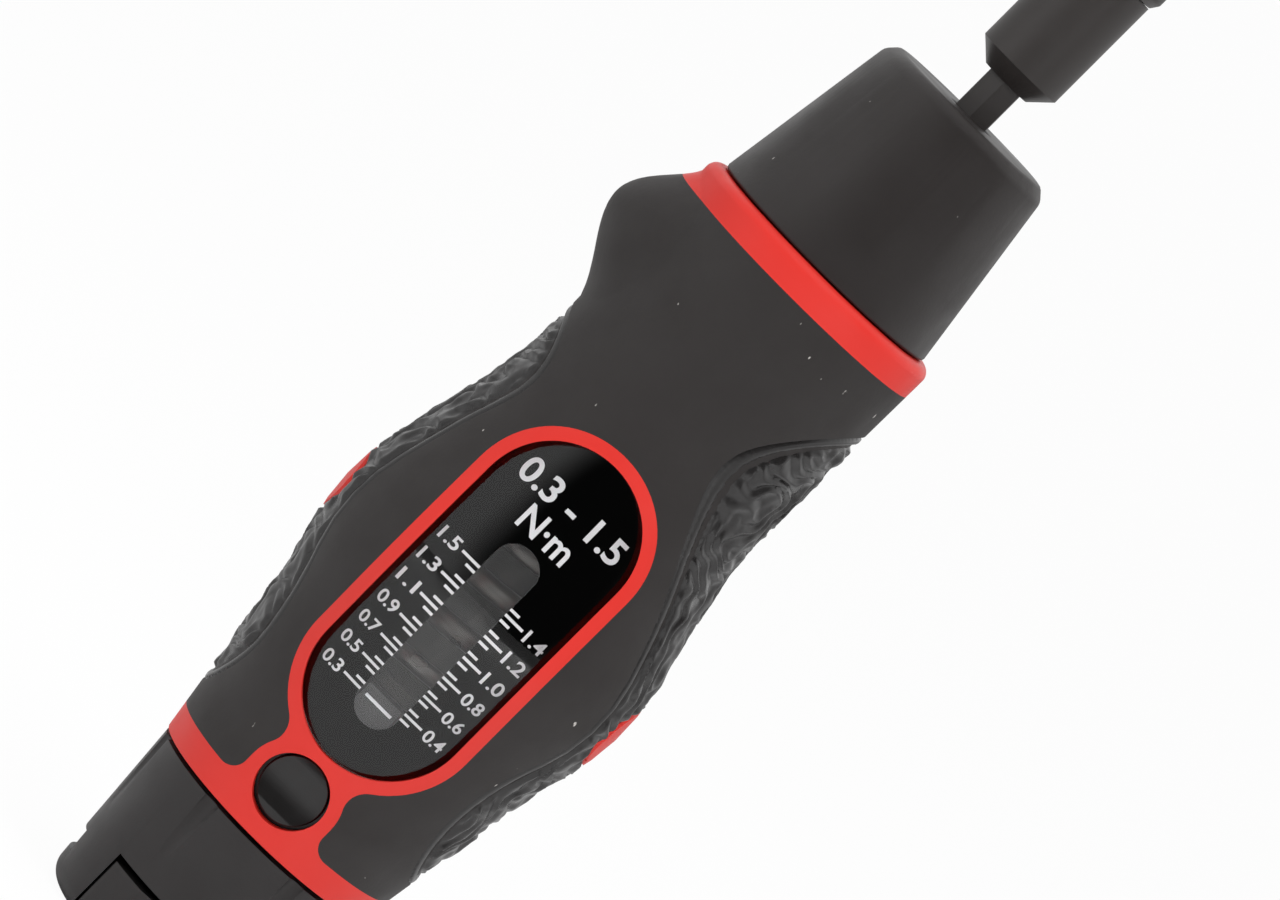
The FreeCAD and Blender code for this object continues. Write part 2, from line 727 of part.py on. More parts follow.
SHOULDER = "(%s + index_len - (%s))" % (INDEX, SCREW)
SCREW_LEN = "(%s + nut_travel + screw_over - (%s))" % (SPRING, SCREW)
FIXING_BORE = "fixing_len - knob_seat + fixing_tail"
screw_blank = turned("screw_blank", [
    ("fixing_r", "0"),
    ("shank_r", "0"),
    ("shank_r", SHOULDER),
    ("shoulder_r", SHOULDER),
    ("shoulder_r", SHOULDER + " + shoulder_len"),
    ("screw_r", SHOULDER + " + shoulder_len"),
    ("screw_r", SCREW_LEN + " - screw_chamfer"),
    ("screw_r - screw_chamfer", SCREW_LEN),
    ("0", SCREW_LEN),
    ("0", FIXING_BORE),
    ("fixing_r", FIXING_BORE),
], z=SCREW)
node(cut("setting_screw", screw_blank, shank_flat("screw_flat")))


def ring(label, inner, outer, length, z):
    """Turn a plain ring."""
    return turned(label, [(inner, "0"), (outer, "0"), (outer, length), (inner, length)], z=z)


node(ring("rear_bulkhead", "shank_r + run_gap", "tube_bore_r", "bulkhead_len", BULKHEAD))
node(ring("thrust_washer", "shank_r + run_gap", "washer_r", "washer_len", WASHER))
CLIP_R = "tube_bore_r + clip_bite"
rear_clip_blank = ring("rear_clip_blank", CLIP_R + " - clip_ring", CLIP_R, "clip_len", CLIP)
node(cut("rear_clip", rear_clip_blank, block("rear_clip_gap", "2 * clip_ring", "0", str(OUTSIDE), CLIP, BULKHEAD)))


def circle_sketch(body, label, circles):
    """Draw circles of (radius, distance towards the front) on a body's XY plane, tied to the sheet."""
    sketch = body.newObject("Sketcher::SketchObject", label)
    sketch.AttachmentSupport = [(origin_plane(body, "XY_Plane"), "")]
    sketch.MapMode = "FlatFace"
    for k, (radius, front) in enumerate(circles):
        sketch.addGeometry(Part.Circle(FreeCAD.Vector(0, -front, 0), FreeCAD.Vector(0, 0, 1), 1.0 + k), False)
        sketch.addConstraint(Sketcher.Constraint("PointOnObject", k, 3, -2))
        if front:
            dimension = sketch.addConstraint(Sketcher.Constraint("DistanceY", k, 3, -1, 1, float(front)))
            sketch.setExpression("Constraints[%d]" % dimension, sized("index_r"))
        else:
            sketch.addConstraint(Sketcher.Constraint("PointOnObject", k, 3, -1))
        dimension = sketch.addConstraint(Sketcher.Constraint("Radius", k, 1.0 + k))
        sketch.setExpression("Constraints[%d]" % dimension, sized(radius))
    sketch.Visibility = False
    return sketch


index_ring = doc.addObject("PartDesign::Body", "index_ring")
index_pad = index_ring.newObject("PartDesign::Pad", "index_ring_blank")
index_pad.Profile = circle_sketch(index_ring, "index_ring_face", [("shank_r", 0), ("index_r", 0)])
bind(index_pad, Length="index_len")
doc.recompute()
index_notch = index_ring.newObject("PartDesign::Pocket", "index_notch")
index_notch.Profile = circle_sketch(index_ring, "index_notch_face", [("notch_r", 1)])
index_notch.Type = 1
index_notch.Reversed = True
doc.recompute()
index_pattern = index_ring.newObject("PartDesign::PolarPattern", "index_notches")
index_pattern.Originals = [index_notch]
index_pattern.Axis = (index_notch.Profile[0], ["N_Axis"])
index_pattern.Angle = 360
bind(index_pattern, Occurrences="index_notches")
index_ring.Tip = index_pattern
doc.recompute()
full_ring = math.pi * (size("index_r") ** 2 - size("shank_r") ** 2) * size("index_len")
if index_ring.Shape.Volume > 0.95 * full_ring:
    raise RuntimeError("the index ring's notches cut nothing")
node(place(index_ring, z=INDEX))

# ---------------------------------------------------------------- mechanism tube

tube_blank = ring("tube_blank", "tube_bore_r", "tube_r", "%s - tube_inset - tube_setback" % SHELL_LEN, TUBE)
node(cut(
    "mechanism_tube",
    tube_blank,
    block("tube_slot", CHANNEL_WIDTH, "0", str(OUTSIDE), CHANNEL_LOW, CHANNEL_HIGH),
    outward("stem_hole", "stem_r + stem_hole_gap", "0", str(OUTSIDE), z=BUTTON),
    beam("key_slots", "key_slot_width / 2", TUBE_END + " - key_slot_len", TUBE_END),
    cylinder("clip_groove", CLIP_R, "clip_len", z=CLIP),
))

# ---------------------------------------------------------------- nut, pointer and main spring

NUT_BORE = "screw_r + run_gap"
nut_blank = turned("nut_blank", [
    (NUT_BORE, "0"),
    ("tube_bore_r - nut_gap", "0"),
    ("tube_bore_r - nut_gap", "nut_len"),
    ("nut_boss_r", "nut_len"),
    ("nut_boss_r", "nut_len + nut_boss_len"),
    (NUT_BORE, "nut_len + nut_boss_len"),
], z=NUT)
POINTER_LOW = NUT + " + (nut_len - pointer_len) / 2"
POINTER_HIGH = POINTER_LOW + " + pointer_len"


def pointer_block(label, end):
    """Make the pointer's block from its seat in the nut towards the front."""
    return block(label, "pointer_width", "pointer_root", end, POINTER_LOW, POINTER_HIGH)


node(cut("setting_nut", nut_blank, pointer_block("pointer_seat", "tube_r")))
line_low = NUT + " + line_at - line_height / 2"
line_high = NUT + " + line_at + line_height / 2"
line_groove = block("line_groove", "line_width", "pointer_face - line_depth", "pointer_face + line_depth", line_low, line_high)
node(cut("pointer", pointer_block("pointer_blank", "pointer_face"), line_groove))
node(coil("main_spring", "spring_coil_r", "spring_wire", "%s - (%s)" % (PLATE, SPRING), "spring_turns", z=SPRING))

# ---------------------------------------------------------------- clutch


def radial(label, radius, start, end, angle, z):
    """Make a cylinder that runs outwards from the axis at an angle in degrees."""
    item = bind(doc.addObject("Part::Cylinder", label), Radius=radius, Height="(%s) - (%s)" % (end, start))
    spin = FreeCAD.Rotation(FreeCAD.Vector(0, 0, 1), angle)
    item.Placement = FreeCAD.Placement(FreeCAD.Vector(), spin * FreeCAD.Rotation(FreeCAD.Vector(0, 1, 0), 90))
    cosine, sine = math.cos(math.radians(angle)), math.sin(math.radians(angle))
    return place(item, "(%s) * %.9f" % (start, cosine), "(%s) * %.9f" % (start, sine), z)


PILOT_BORE = "pilot_r + run_gap"
plate_turned = turned("plate_turned", [
    (PILOT_BORE, "0"),
    ("plate_guide_r", "0"),
    ("plate_guide_r", "plate_guide_len"),
    ("tube_bore_r - nut_gap", "plate_guide_len"),
    ("tube_bore_r - nut_gap", "plate_guide_len + plate_len"),
    (PILOT_BORE, "plate_guide_len + plate_len"),
], z=PLATE + " - plate_guide_len")
plate_keys = common(
    "plate_keys",
    beam("plate_key_beam", "key_width / 2", PLATE, PLATE + " + plate_len"),
    ring("plate_key_ring", "plate_guide_r", "tube_bore_r + key_reach", "plate_len", PLATE),
)
pockets = []
balls = []
for k in range(BALLS):
    angle = math.radians(90.0 + 360.0 / BALLS * k)
    x = "ball_circle_r * %.9f" % math.cos(angle)
    y = "ball_circle_r * %.9f" % math.sin(angle)
    pockets.append(cylinder("ball_pocket_%d" % k, "ball_r + ball_gap", "plate_len", x=x, y=y, z=BALL + " - ball_r"))
    ball = bind(doc.addObject("Part::Sphere", "clutch_ball_%d" % k), Radius="ball_r")
    balls.append(place(ball, x, y, BALL))
node(cut("pressure_plate", fuse("plate_blank_keyed", plate_turned, plate_keys), *pockets))
clutch_balls = doc.addObject("Part::Compound", "clutch_balls")
clutch_balls.Links = balls
node(clutch_balls)

SPINDLE = DISC + " - pilot_len"
SPINDLE_LEN = "pilot_len + disc_len + spindle_len"
spindle_blank = turned("spindle_blank", [
    ("0", "0"),
    ("pilot_r", "0"),
    ("pilot_r", "pilot_len"),
    ("disc_r", "pilot_len"),
    ("disc_r", "pilot_len + disc_len"),
    ("spindle_r", "pilot_len + disc_len"),
    ("spindle_r", SPINDLE_LEN),
    ("0", SPINDLE_LEN),
], z=SPINDLE)
detents = [
    radial("detent_%d" % k, "ball_r + ball_gap", "ball_circle_r - ball_r - ball_gap", "disc_r + ball_r", 360.0 / DETENTS * k, BALL)
    for k in range(DETENTS)
]
SHAFT = "%s + %s - shaft_grip" % (SPINDLE, SPINDLE_LEN)
node(cut("output_spindle", spindle_blank, prism("spindle_socket", "shaft_flats", "shaft_grip", z=SHAFT), *detents))

SPINDLE_BORE = "spindle_r + run_gap"
node(ring("spindle_washer", SPINDLE_BORE, "disc_washer_r", "disc_washer_len", BUSH + " - disc_washer_len"))
node(turned("nose_bush", [
    (SPINDLE_BORE, "0"),
    ("tube_bore_r", "0"),
    ("tube_bore_r", "bush_flange_len"),
    ("bush_r", "bush_flange_len"),
    ("bush_r", "bush_len"),
    (SPINDLE_BORE, "bush_len"),
], z=BUSH))

# ---------------------------------------------------------------- nose cone

SKIRT = FRONT + " - nose_seat_len + nose_seat_gap"
SKIRT_LEN = "(nose_seat_len - nose_seat_gap + nose_gap)"
TUBE_STOP = "nose_seat_len - nose_seat_gap - tube_setback"
node(turned("nose_cone", [
    ("shell_bore_r", "0"),
    ("nose_seat_r", "0"),
    ("nose_seat_r", SKIRT_LEN),
    ("nose_rear_r", SKIRT_LEN),
    ("nose_front_r", SKIRT_LEN + " + nose_len - nose_bevel_len"),
    ("nose_front_r - nose_bevel", SKIRT_LEN + " + nose_len"),
    ("nose_hole_r", SKIRT_LEN + " + nose_len"),
    ("nose_hole_r", SKIRT_LEN + " + nose_cavity_len"),
    ("bush_r", SKIRT_LEN + " + nose_cavity_len"),
    ("bush_r", TUBE_STOP),
    ("shell_bore_r", TUBE_STOP),
], z=SKIRT))

# ---------------------------------------------------------------- push button

STEM_END = "(index_r + stem_gap)"
FLANGE_OUT = "(button_ledge - button_flange_gap - %s)" % STEM_END
FLANGE_IN = "(%s - button_flange_wall)" % FLANGE_OUT
BUTTON_TOP = "(button_face - %s)" % STEM_END
button_blank = turned("button_blank", [
    ("0", "0"),
    ("stem_r - stem_tip", "0"),
    ("stem_r", "stem_tip"),
    ("stem_r", FLANGE_IN),
    ("button_flange_r", FLANGE_IN),
    ("button_flange_r", FLANGE_OUT),
    ("button_r", FLANGE_OUT),
    ("button_r", BUTTON_TOP),
    ("0", BUTTON_TOP),
])
place(button_blank, y="-" + STEM_END, z=BUTTON, turn=((1, 0, 0), 90))
button_dish = cylinder(
    "button_dish_cutter",
    "button_dish_r",
    "4 * button_r",
    x="-2 * button_r",
    y="-(button_face + button_dish_r - button_dish)",
    z=BUTTON,
    turn=((0, 1, 0), 90),
)
node(cut("release_button", button_blank, button_dish))

button_spring = coil("button_spring", "button_spring_r", "button_spring_wire", "button_spring_len", "1.5")
node(place(button_spring, y="-(tube_r + button_spring_wire / 2)", z=BUTTON, turn=((1, 0, 0), 90)))

# ---------------------------------------------------------------- hexagonal shaft, bit holder, collar

node(prism("hex_shaft", "shaft_flats", "%s + shaft_grip - (%s)" % (HOLDER, SHAFT), z=SHAFT))

HOLDER_LEN = "holder_cone_len + holder_body_len + holder_neck_len"
HOLDER_CLIP = COLLAR + " + holder_clip_at"
CLIP_SEAT_R = "holder_neck_r - holder_clip_bite"
holder_blank = turned("holder_blank", [
    ("0", "0"),
    ("holder_rear_r", "0"),
    ("holder_r", "holder_cone_len"),
    ("holder_r", "holder_cone_len + holder_body_len"),
    ("holder_neck_r", "holder_cone_len + holder_body_len"),
    ("holder_neck_r", HOLDER_LEN + " - holder_lip"),
    ("holder_neck_r - holder_lip", HOLDER_LEN),
    ("0", HOLDER_LEN),
], z=HOLDER)
BIT_SEAT = HOLDER_END + " - bit_depth"
LOCK_BALL_Z = COLLAR + " + lock_ball_at"
node(cut(
    "bit_holder",
    holder_blank,
    prism("holder_rear_socket", "shaft_flats", "shaft_grip", z=HOLDER),
    prism("bit_socket", "bit_flats", "bit_depth", z=BIT_SEAT),
    cylinder("magnet_bore", "magnet_r", "magnet_len", z=BIT_SEAT + " - magnet_len"),
    ring("holder_clip_groove", CLIP_SEAT_R, "holder_r", "holder_clip_len", HOLDER_CLIP),
    outward("lock_ball_hole", "lock_ball_r + ball_gap", "0", "holder_r", z=LOCK_BALL_Z),
))
node(cylinder("bit_magnet", "magnet_r", "magnet_len", z=BIT_SEAT + " - magnet_len"))
lock_ball = bind(doc.addObject("Part::Sphere", "lock_ball"), Radius="lock_ball_r")
node(place(lock_ball, y="-(holder_neck_r + run_gap / 2 - lock_ball_r)", z=LOCK_BALL_Z))

holder_clip_blank = ring("holder_clip_blank", CLIP_SEAT_R, "holder_clip_r", "holder_clip_len", HOLDER_CLIP)
holder_clip_gap = block("holder_clip_gap", "holder_neck_r / 2", "0", "holder_r + 1", HOLDER_CLIP, HOLDER_CLIP + " + holder_clip_len")
node(cut("holder_clip", holder_clip_blank, holder_clip_gap))

COLLAR_BORE = "holder_neck_r + run_gap"
node(turned("release_collar", [
    (COLLAR_BORE, "0"),
    ("holder_r", "0"),
    ("collar_r", "collar_cone_len"),
    ("collar_r", "collar_len - collar_lip"),
    ("collar_r - collar_lip", "collar_len"),
    ("collar_r - collar_shell", "collar_len"),
    ("collar_r - collar_shell", "collar_land_len"),
    (COLLAR_BORE, "collar_land_len"),
], z=COLLAR + " + collar_gap"))
node(coil(
    "collar_spring",
    "(holder_neck_r + collar_r - collar_shell) / 2",
    "collar_spring_wire",
    "holder_clip_at - collar_gap - collar_land_len",
    "3",
    z=COLLAR + " + collar_gap + collar_land_len",
))

# ---------------------------------------------------------------- check and export

doc.recompute()
for item in doc.Objects:
    faults = [word for word in ("Invalid", "Error") if word in item.State]
    if faults:
        raise RuntimeError("%s is %s" % (item.Label, ", ".join(faults)))
for item in NODES:
    if item.Shape.isNull() or not item.Shape.isValid() or not item.Shape.Solids:
        raise RuntimeError("%s has no valid solid" % item.Label)

os.makedirs("parts", exist_ok=True)
for item in NODES:
    item.Shape.exportStep("parts/%s.step" % item.Label)
    print("%-16s %d solids, %.1f mm3" % (item.Label, len(item.Shape.Solids), item.Shape.Volume))
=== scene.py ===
"""Looks of an adjustable torque screwdriver with a sight window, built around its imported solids.

The solids give every outline. This file closes their seams, softens their edges and dresses them, and adds
what is finer than a solid: the relief of the side pads, the printed scale, the round wire of the springs
and the grain that moulding leaves. Lengths are in metres; MM turns the sizes below into them.
"""

import json
import logging
import math
from dataclasses import dataclass
from enum import Enum

import bmesh
import bpy
from mathutils import Matrix, Vector, noise
from mathutils.bvhtree import BVHTree
from mathutils.kdtree import KDTree

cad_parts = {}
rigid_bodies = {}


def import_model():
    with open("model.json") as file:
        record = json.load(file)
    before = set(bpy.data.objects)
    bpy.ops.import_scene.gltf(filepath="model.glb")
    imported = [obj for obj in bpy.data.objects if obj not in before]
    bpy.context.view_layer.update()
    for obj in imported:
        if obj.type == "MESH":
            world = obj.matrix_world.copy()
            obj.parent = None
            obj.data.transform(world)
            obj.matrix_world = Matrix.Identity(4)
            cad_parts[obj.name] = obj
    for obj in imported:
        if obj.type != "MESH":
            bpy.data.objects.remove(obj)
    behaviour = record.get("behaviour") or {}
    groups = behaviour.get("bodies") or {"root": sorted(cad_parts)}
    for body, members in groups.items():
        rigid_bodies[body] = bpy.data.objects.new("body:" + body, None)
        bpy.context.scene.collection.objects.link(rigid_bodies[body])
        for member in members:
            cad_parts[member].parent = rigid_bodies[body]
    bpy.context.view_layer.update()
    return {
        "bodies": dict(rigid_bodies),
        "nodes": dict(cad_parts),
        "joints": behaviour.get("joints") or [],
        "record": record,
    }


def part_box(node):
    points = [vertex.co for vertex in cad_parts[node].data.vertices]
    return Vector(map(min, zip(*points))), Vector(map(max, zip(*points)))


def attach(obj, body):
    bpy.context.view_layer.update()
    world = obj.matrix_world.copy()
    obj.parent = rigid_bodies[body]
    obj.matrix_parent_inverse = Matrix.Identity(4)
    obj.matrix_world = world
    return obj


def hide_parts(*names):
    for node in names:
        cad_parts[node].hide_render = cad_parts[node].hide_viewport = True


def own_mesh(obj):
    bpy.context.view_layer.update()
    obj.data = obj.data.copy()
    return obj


MM = 0.001
LOG = logging.getLogger("torque_screwdriver")

# How far the pads' floor and the lens's face lie below the handle's barrel, in millimetres
FLOOR_DEPTH = 0.35
LENS_DEPTH = 0.7


# ------------------------------------------------------------------ shader groups


class GroupKind(Enum):
    """Surface effects shared by several finishes."""

    GRAIN = "moulded_grain"
    DUST = "settled_dust"


def new_group(kind: GroupKind, inputs: dict[str, float], outputs: list[str]) -> bpy.types.NodeTree:
    """Start a shader node group with named sockets.

    Args:
        kind: Effect that the group makes, which also names it.
        inputs: Name and default of each float input.
        outputs: Names of the float outputs.

    Returns:
        The group's node tree with its input and output nodes in place.
    """
    tree = bpy.data.node_groups.new(kind.value, "ShaderNodeTree")
    for name, value in inputs.items():
        socket = tree.interface.new_socket(name, in_out="INPUT", socket_type="NodeSocketFloat")
        socket.default_value = value
    for name in outputs:
        tree.interface.new_socket(name, in_out="OUTPUT", socket_type="NodeSocketFloat")
    tree.nodes.new("NodeGroupInput").name = "in"
    tree.nodes.new("NodeGroupOutput").name = "out"
    return tree


def add_noise(
    tree: bpy.types.NodeTree, scale: bpy.types.NodeSocket, detail: float, stretch: Vector
) -> bpy.types.Node:
    """Add a noise texture on Object coordinates.

    Args:
        tree: Node tree that gets the texture.
        scale: Socket that gives the scale.
        detail: Number of octaves.
        stretch: Factor on each axis before the texture is read.

    Returns:
        The noise node.
    """
    coordinates = tree.nodes.new("ShaderNodeTexCoord")
    mapping = tree.nodes.new("ShaderNodeMapping")
    mapping.inputs["Scale"].default_value = stretch
    texture = tree.nodes.new("ShaderNodeTexNoise")
    texture.inputs["Detail"].default_value = detail
    tree.links.new(coordinates.outputs["Object"], mapping.inputs["Vector"])
    tree.links.new(mapping.outputs["Vector"], texture.inputs["Vector"])
    tree.links.new(scale, texture.inputs["Scale"])
    return texture


def add_range(
    tree: bpy.types.NodeTree, value: bpy.types.NodeSocket, low: float, high: float
) -> bpy.types.Node:
    """Add a clamped map of a value from low..high to 0..1."""
    node = tree.nodes.new("ShaderNodeMapRange")
    node.inputs["From Min"].default_value = low
    node.inputs["From Max"].default_value = high
    tree.links.new(value, node.inputs["Value"])
    return node


def build_groups() -> dict[GroupKind, bpy.types.NodeTree]:
    """Build every shared effect once.

    Returns:
        The node tree of each effect.
    """
    grain = new_group(GroupKind.GRAIN, {"Scale": 2500.0}, ["Height", "Cloud"])
    source = grain.nodes["in"].outputs["Scale"]
    fine = add_noise(grain, source, 3.0, Vector((1, 1, 1)))
    broad_scale = grain.nodes.new("ShaderNodeMath")
    broad_scale.operation = "MULTIPLY"
    broad_scale.inputs[1].default_value = 0.06
    grain.links.new(source, broad_scale.inputs[0])
    broad = add_noise(grain, broad_scale.outputs[0], 4.0, Vector((1, 1, 1)))
    grain.links.new(fine.outputs["Fac"], grain.nodes["out"].inputs["Height"])
    cloud = add_range(grain, broad.outputs["Fac"], 0.3, 0.7)
    grain.links.new(cloud.outputs[0], grain.nodes["out"].inputs["Cloud"])

    dust = new_group(GroupKind.DUST, {"Scale": 900.0, "Threshold": 0.73}, ["Mask"])
    specks = add_noise(dust, dust.nodes["in"].outputs["Scale"], 2.0, Vector((1, 1, 0.6)))
    over = dust.nodes.new("ShaderNodeMath")
    over.operation = "SUBTRACT"
    dust.links.new(specks.outputs["Fac"], over.inputs[0])
    dust.links.new(dust.nodes["in"].outputs["Threshold"], over.inputs[1])
    mask = add_range(dust, over.outputs[0], 0.0, 0.03)
    dust.links.new(mask.outputs[0], dust.nodes["out"].inputs["Mask"])
    return {GroupKind.GRAIN: grain, GroupKind.DUST: dust}


# ------------------------------------------------------------------ finishes


@dataclass(frozen=True)
class Finish:
    """A moulded or painted surface with fine grain and a little dust.

    Attributes:
        name: Name of the material.
        colour: Base colour, linear.
        roughness: Middle roughness.
        spread: How far the roughness wanders.
        grain: Scale of the fine grain.
        depth: Strength of the grain's bump.
        dust: Colour that the dust adds, or None for a clean surface.
        dust_threshold: Level of the noise above which a speck shows.
        specular: Specular level of the surface.
        metallic: 1 for bare metal.
    """

    name: str
    colour: tuple[float, float, float]
    roughness: float
    spread: float = 0.08
    grain: float = 2600.0
    depth: float = 0.12
    dust: tuple[float, float, float] | None = None
    dust_threshold: float = 0.76
    specular: float = 0.5
    metallic: float = 0.0

    def material(self, groups: dict[GroupKind, bpy.types.NodeTree]) -> bpy.types.Material:
        """Build the finish as a material.

        Args:
            groups: Shared effects.

        Returns:
            The material.
        """
        item = bpy.data.materials.new(self.name)
        item.use_nodes = True
        tree = item.node_tree
        shader = tree.nodes["Principled BSDF"]
        shader.inputs["Metallic"].default_value = self.metallic
        shader.inputs["Specular IOR Level"].default_value = self.specular
        shader.inputs["Base Color"].default_value = (*self.colour, 1.0)
        grain = tree.nodes.new("ShaderNodeGroup")
        grain.node_tree = groups[GroupKind.GRAIN]
        grain.inputs["Scale"].default_value = self.grain
        rough = tree.nodes.new("ShaderNodeMapRange")
        rough.inputs["To Min"].default_value = self.roughness - self.spread
        rough.inputs["To Max"].default_value = self.roughness + self.spread
        bump = tree.nodes.new("ShaderNodeBump")
        bump.inputs["Strength"].default_value = self.depth
        bump.inputs["Distance"].default_value = 0.05 * MM
        tree.links.new(grain.outputs["Cloud"], rough.inputs["Value"])
        tree.links.new(rough.outputs["Result"], shader.inputs["Roughness"])
        tree.links.new(grain.outputs["Height"], bump.inputs["Height"])
        tree.links.new(bump.outputs["Normal"], shader.inputs["Normal"])
        if self.dust:
            specks = tree.nodes.new("ShaderNodeGroup")
            specks.node_tree = groups[GroupKind.DUST]
            specks.inputs["Threshold"].default_value = self.dust_threshold
            mix = tree.nodes.new("ShaderNodeMix")
            mix.data_type = "RGBA"
            mix.inputs["A"].default_value = (*self.colour, 1.0)
            mix.inputs["B"].default_value = (*self.dust, 1.0)
            tree.links.new(specks.outputs["Mask"], mix.inputs["Factor"])
            tree.links.new(mix.outputs["Result"], shader.inputs["Base Color"])
        return item


@dataclass(frozen=True)
class ClearFinish:
    """Clear plastic, polished.

    Attributes:
        name: Name of the material.
        roughness: Roughness of its faces.
        index: Index of refraction.
    """

    name: str
    roughness: float
    index: float

    def material(self) -> bpy.types.Material:
        """Build the finish as a material."""
        item = bpy.data.materials.new(self.name)
        item.use_nodes = True
        shader = item.node_tree.nodes["Principled BSDF"]
        shader.inputs["Base Color"].default_value = (1.0, 1.0, 1.0, 1.0)
        shader.inputs["Transmission Weight"].default_value = 1.0
        shader.inputs["Roughness"].default_value = self.roughness
        shader.inputs["IOR"].default_value = self.index
        return item


class Paints:
    """All finishes of the tool, built once and kept by name."""

    DUST = (0.42, 0.40, 0.38)
    FINISHES = (
        Finish("red_shell", (0.56, 0.021, 0.014), 0.46, depth=0.05, specular=0.4),
        Finish("soft_grip", (0.020, 0.0175, 0.017), 0.60, depth=0.25,
               dust=DUST, dust_threshold=0.77, specular=0.35),
        Finish("pad_relief", (0.012, 0.011, 0.011), 0.31, depth=0.10, dust=DUST, dust_threshold=0.79),
        Finish("nose_plastic", (0.017, 0.0145, 0.014), 0.46, depth=0.22,
               dust=DUST, dust_threshold=0.78, specular=0.4),
        Finish("knob_plastic", (0.015, 0.013, 0.013), 0.42, depth=0.2,
               dust=DUST, dust_threshold=0.78, specular=0.4),
        Finish("button_plastic", (0.008, 0.0075, 0.0075), 0.33, depth=0.04),
        Finish("scale_paint", (0.003, 0.0028, 0.003), 0.55, depth=0.02, specular=0.3),
        Finish("pointer_grey", (0.045, 0.044, 0.046), 0.5, depth=0.05, specular=0.3),
        Finish("print_white", (0.82, 0.83, 0.85), 0.6, depth=0.02),
        Finish("black_steel", (0.022, 0.019, 0.018), 0.38, depth=0.08,
               dust=DUST, dust_threshold=0.79, specular=0.5),
        Finish("bright_steel", (0.62, 0.61, 0.60), 0.3, depth=0.05, metallic=1.0),
        # Steel inside the handle, made darker with the painted shade of the handle's dark interior
        Finish("dark_steel_painted_shade", (0.055, 0.052, 0.050), 0.42, depth=0.05, metallic=1.0),
        # Spring wire, made darker with the painted shade of the dark interior where the main spring sits
        Finish("spring_steel_painted_shade", (0.085, 0.080, 0.076), 0.30, depth=0.05, metallic=1.0),
        Finish("ball_steel", (0.75, 0.75, 0.75), 0.12, spread=0.04, depth=0.01, metallic=1.0),
        Finish("bearing_bronze", (0.62, 0.40, 0.20), 0.35, depth=0.05, metallic=1.0),
    )
    CLEAR = ClearFinish("clear_window", 0.0, 1.49)

    def __init__(self) -> None:
        """Build every material."""
        groups = build_groups()
        self.materials = {finish.name: finish.material(groups) for finish in self.FINISHES}
        self.materials[self.CLEAR.name] = self.CLEAR.material()

    def __getitem__(self, name: str) -> bpy.types.Material:
        """Give one material by name."""
        return self.materials[name]


# ------------------------------------------------------------------ making pieces


@dataclass
class Workshop:
    """What every sub-assembly builds with.

    Attributes:
        paints: Finishes of the tool.
    """

    frame: dict
    paints: Paints

    def body_of(self, node: str) -> str:
        """Name the body that a solid belongs to."""
        bodies = self.frame["record"]["behaviour"]["bodies"]
        return next(body for body, nodes in bodies.items() if node in nodes)

    def slot_of(self, node: str) -> str:
        """Name the record's material slot of a solid."""
        return next(part["material_slot"] for part in self.frame["record"]["subparts"] if part["node"] == node)

    def piece(self, name: str, shape: bmesh.types.BMesh, paint: str, body: str, slot: str) -> bpy.types.Object:
        """Make a finished object from a bmesh.

        Args:
            name: Name of the object.
            shape: Its mesh, in place; it is freed here.
            paint: Name of the finish.
            body: Body that it rides on.
            slot: The record's material slot; not used.

        Returns:
            The object, linked to the scene.
        """
        mesh = bpy.data.meshes.new(name)
        shape.to_mesh(mesh)
        shape.free()
        item = bpy.data.objects.new(name, mesh)
        bpy.context.scene.collection.objects.link(item)
        mesh.materials.append(self.paints[paint])
        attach(item, body)
        LOG.info("%s: %d faces", name, len(mesh.polygons))
        return item

    def dress(self, node: str, paint: str, bevel: float = 0.12, crease: float = 32.0) -> bpy.types.Object:
        """Copy a solid with its seams closed and its edges softened, and let the copy stand for it.

        Args:
            node: Name of the solid.
            paint: Name of the finish.
            bevel: Width of the softened edges in millimetres, 0 for none.
            crease: Angle in degrees above which an edge is sharp.

        Returns:
            The dressed object.
        """
        shape = bmesh.new()
        shape.from_mesh(self.frame["nodes"][node].data)
        bmesh.ops.remove_doubles(shape, verts=shape.verts, dist=0.002 * MM)
        bmesh.ops.dissolve_limit(
            shape, angle_limit=math.radians(0.6), verts=shape.verts, edges=shape.edges, delimit={"NORMAL"}
        )
        item = self.piece(node + "_finish", shape, paint, self.body_of(node), self.slot_of(node))
        shade(item, crease)
        if bevel:
            soften(item, bevel, crease)
        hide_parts(node)
        return item


def shade(item: bpy.types.Object, crease: float) -> None:
    """Shade a piece smooth, with edges sharper than an angle in degrees kept crisp."""
    item.data.shade_smooth()
    item.data.set_sharp_from_angle(angle=math.radians(crease))


def soften(item: bpy.types.Object, width: float, crease: float) -> None:
    """Give a piece a live bevel on its sharp edges; width is in millimetres, crease in degrees."""
    bevel = item.modifiers.new("soft_edges", "BEVEL")
    bevel.width = width * MM
    bevel.segments = 2
    bevel.limit_method = "ANGLE"
    bevel.angle_limit = math.radians(crease)
    bevel.harden_normals = True
    bevel.miter_outer = "MITER_ARC"


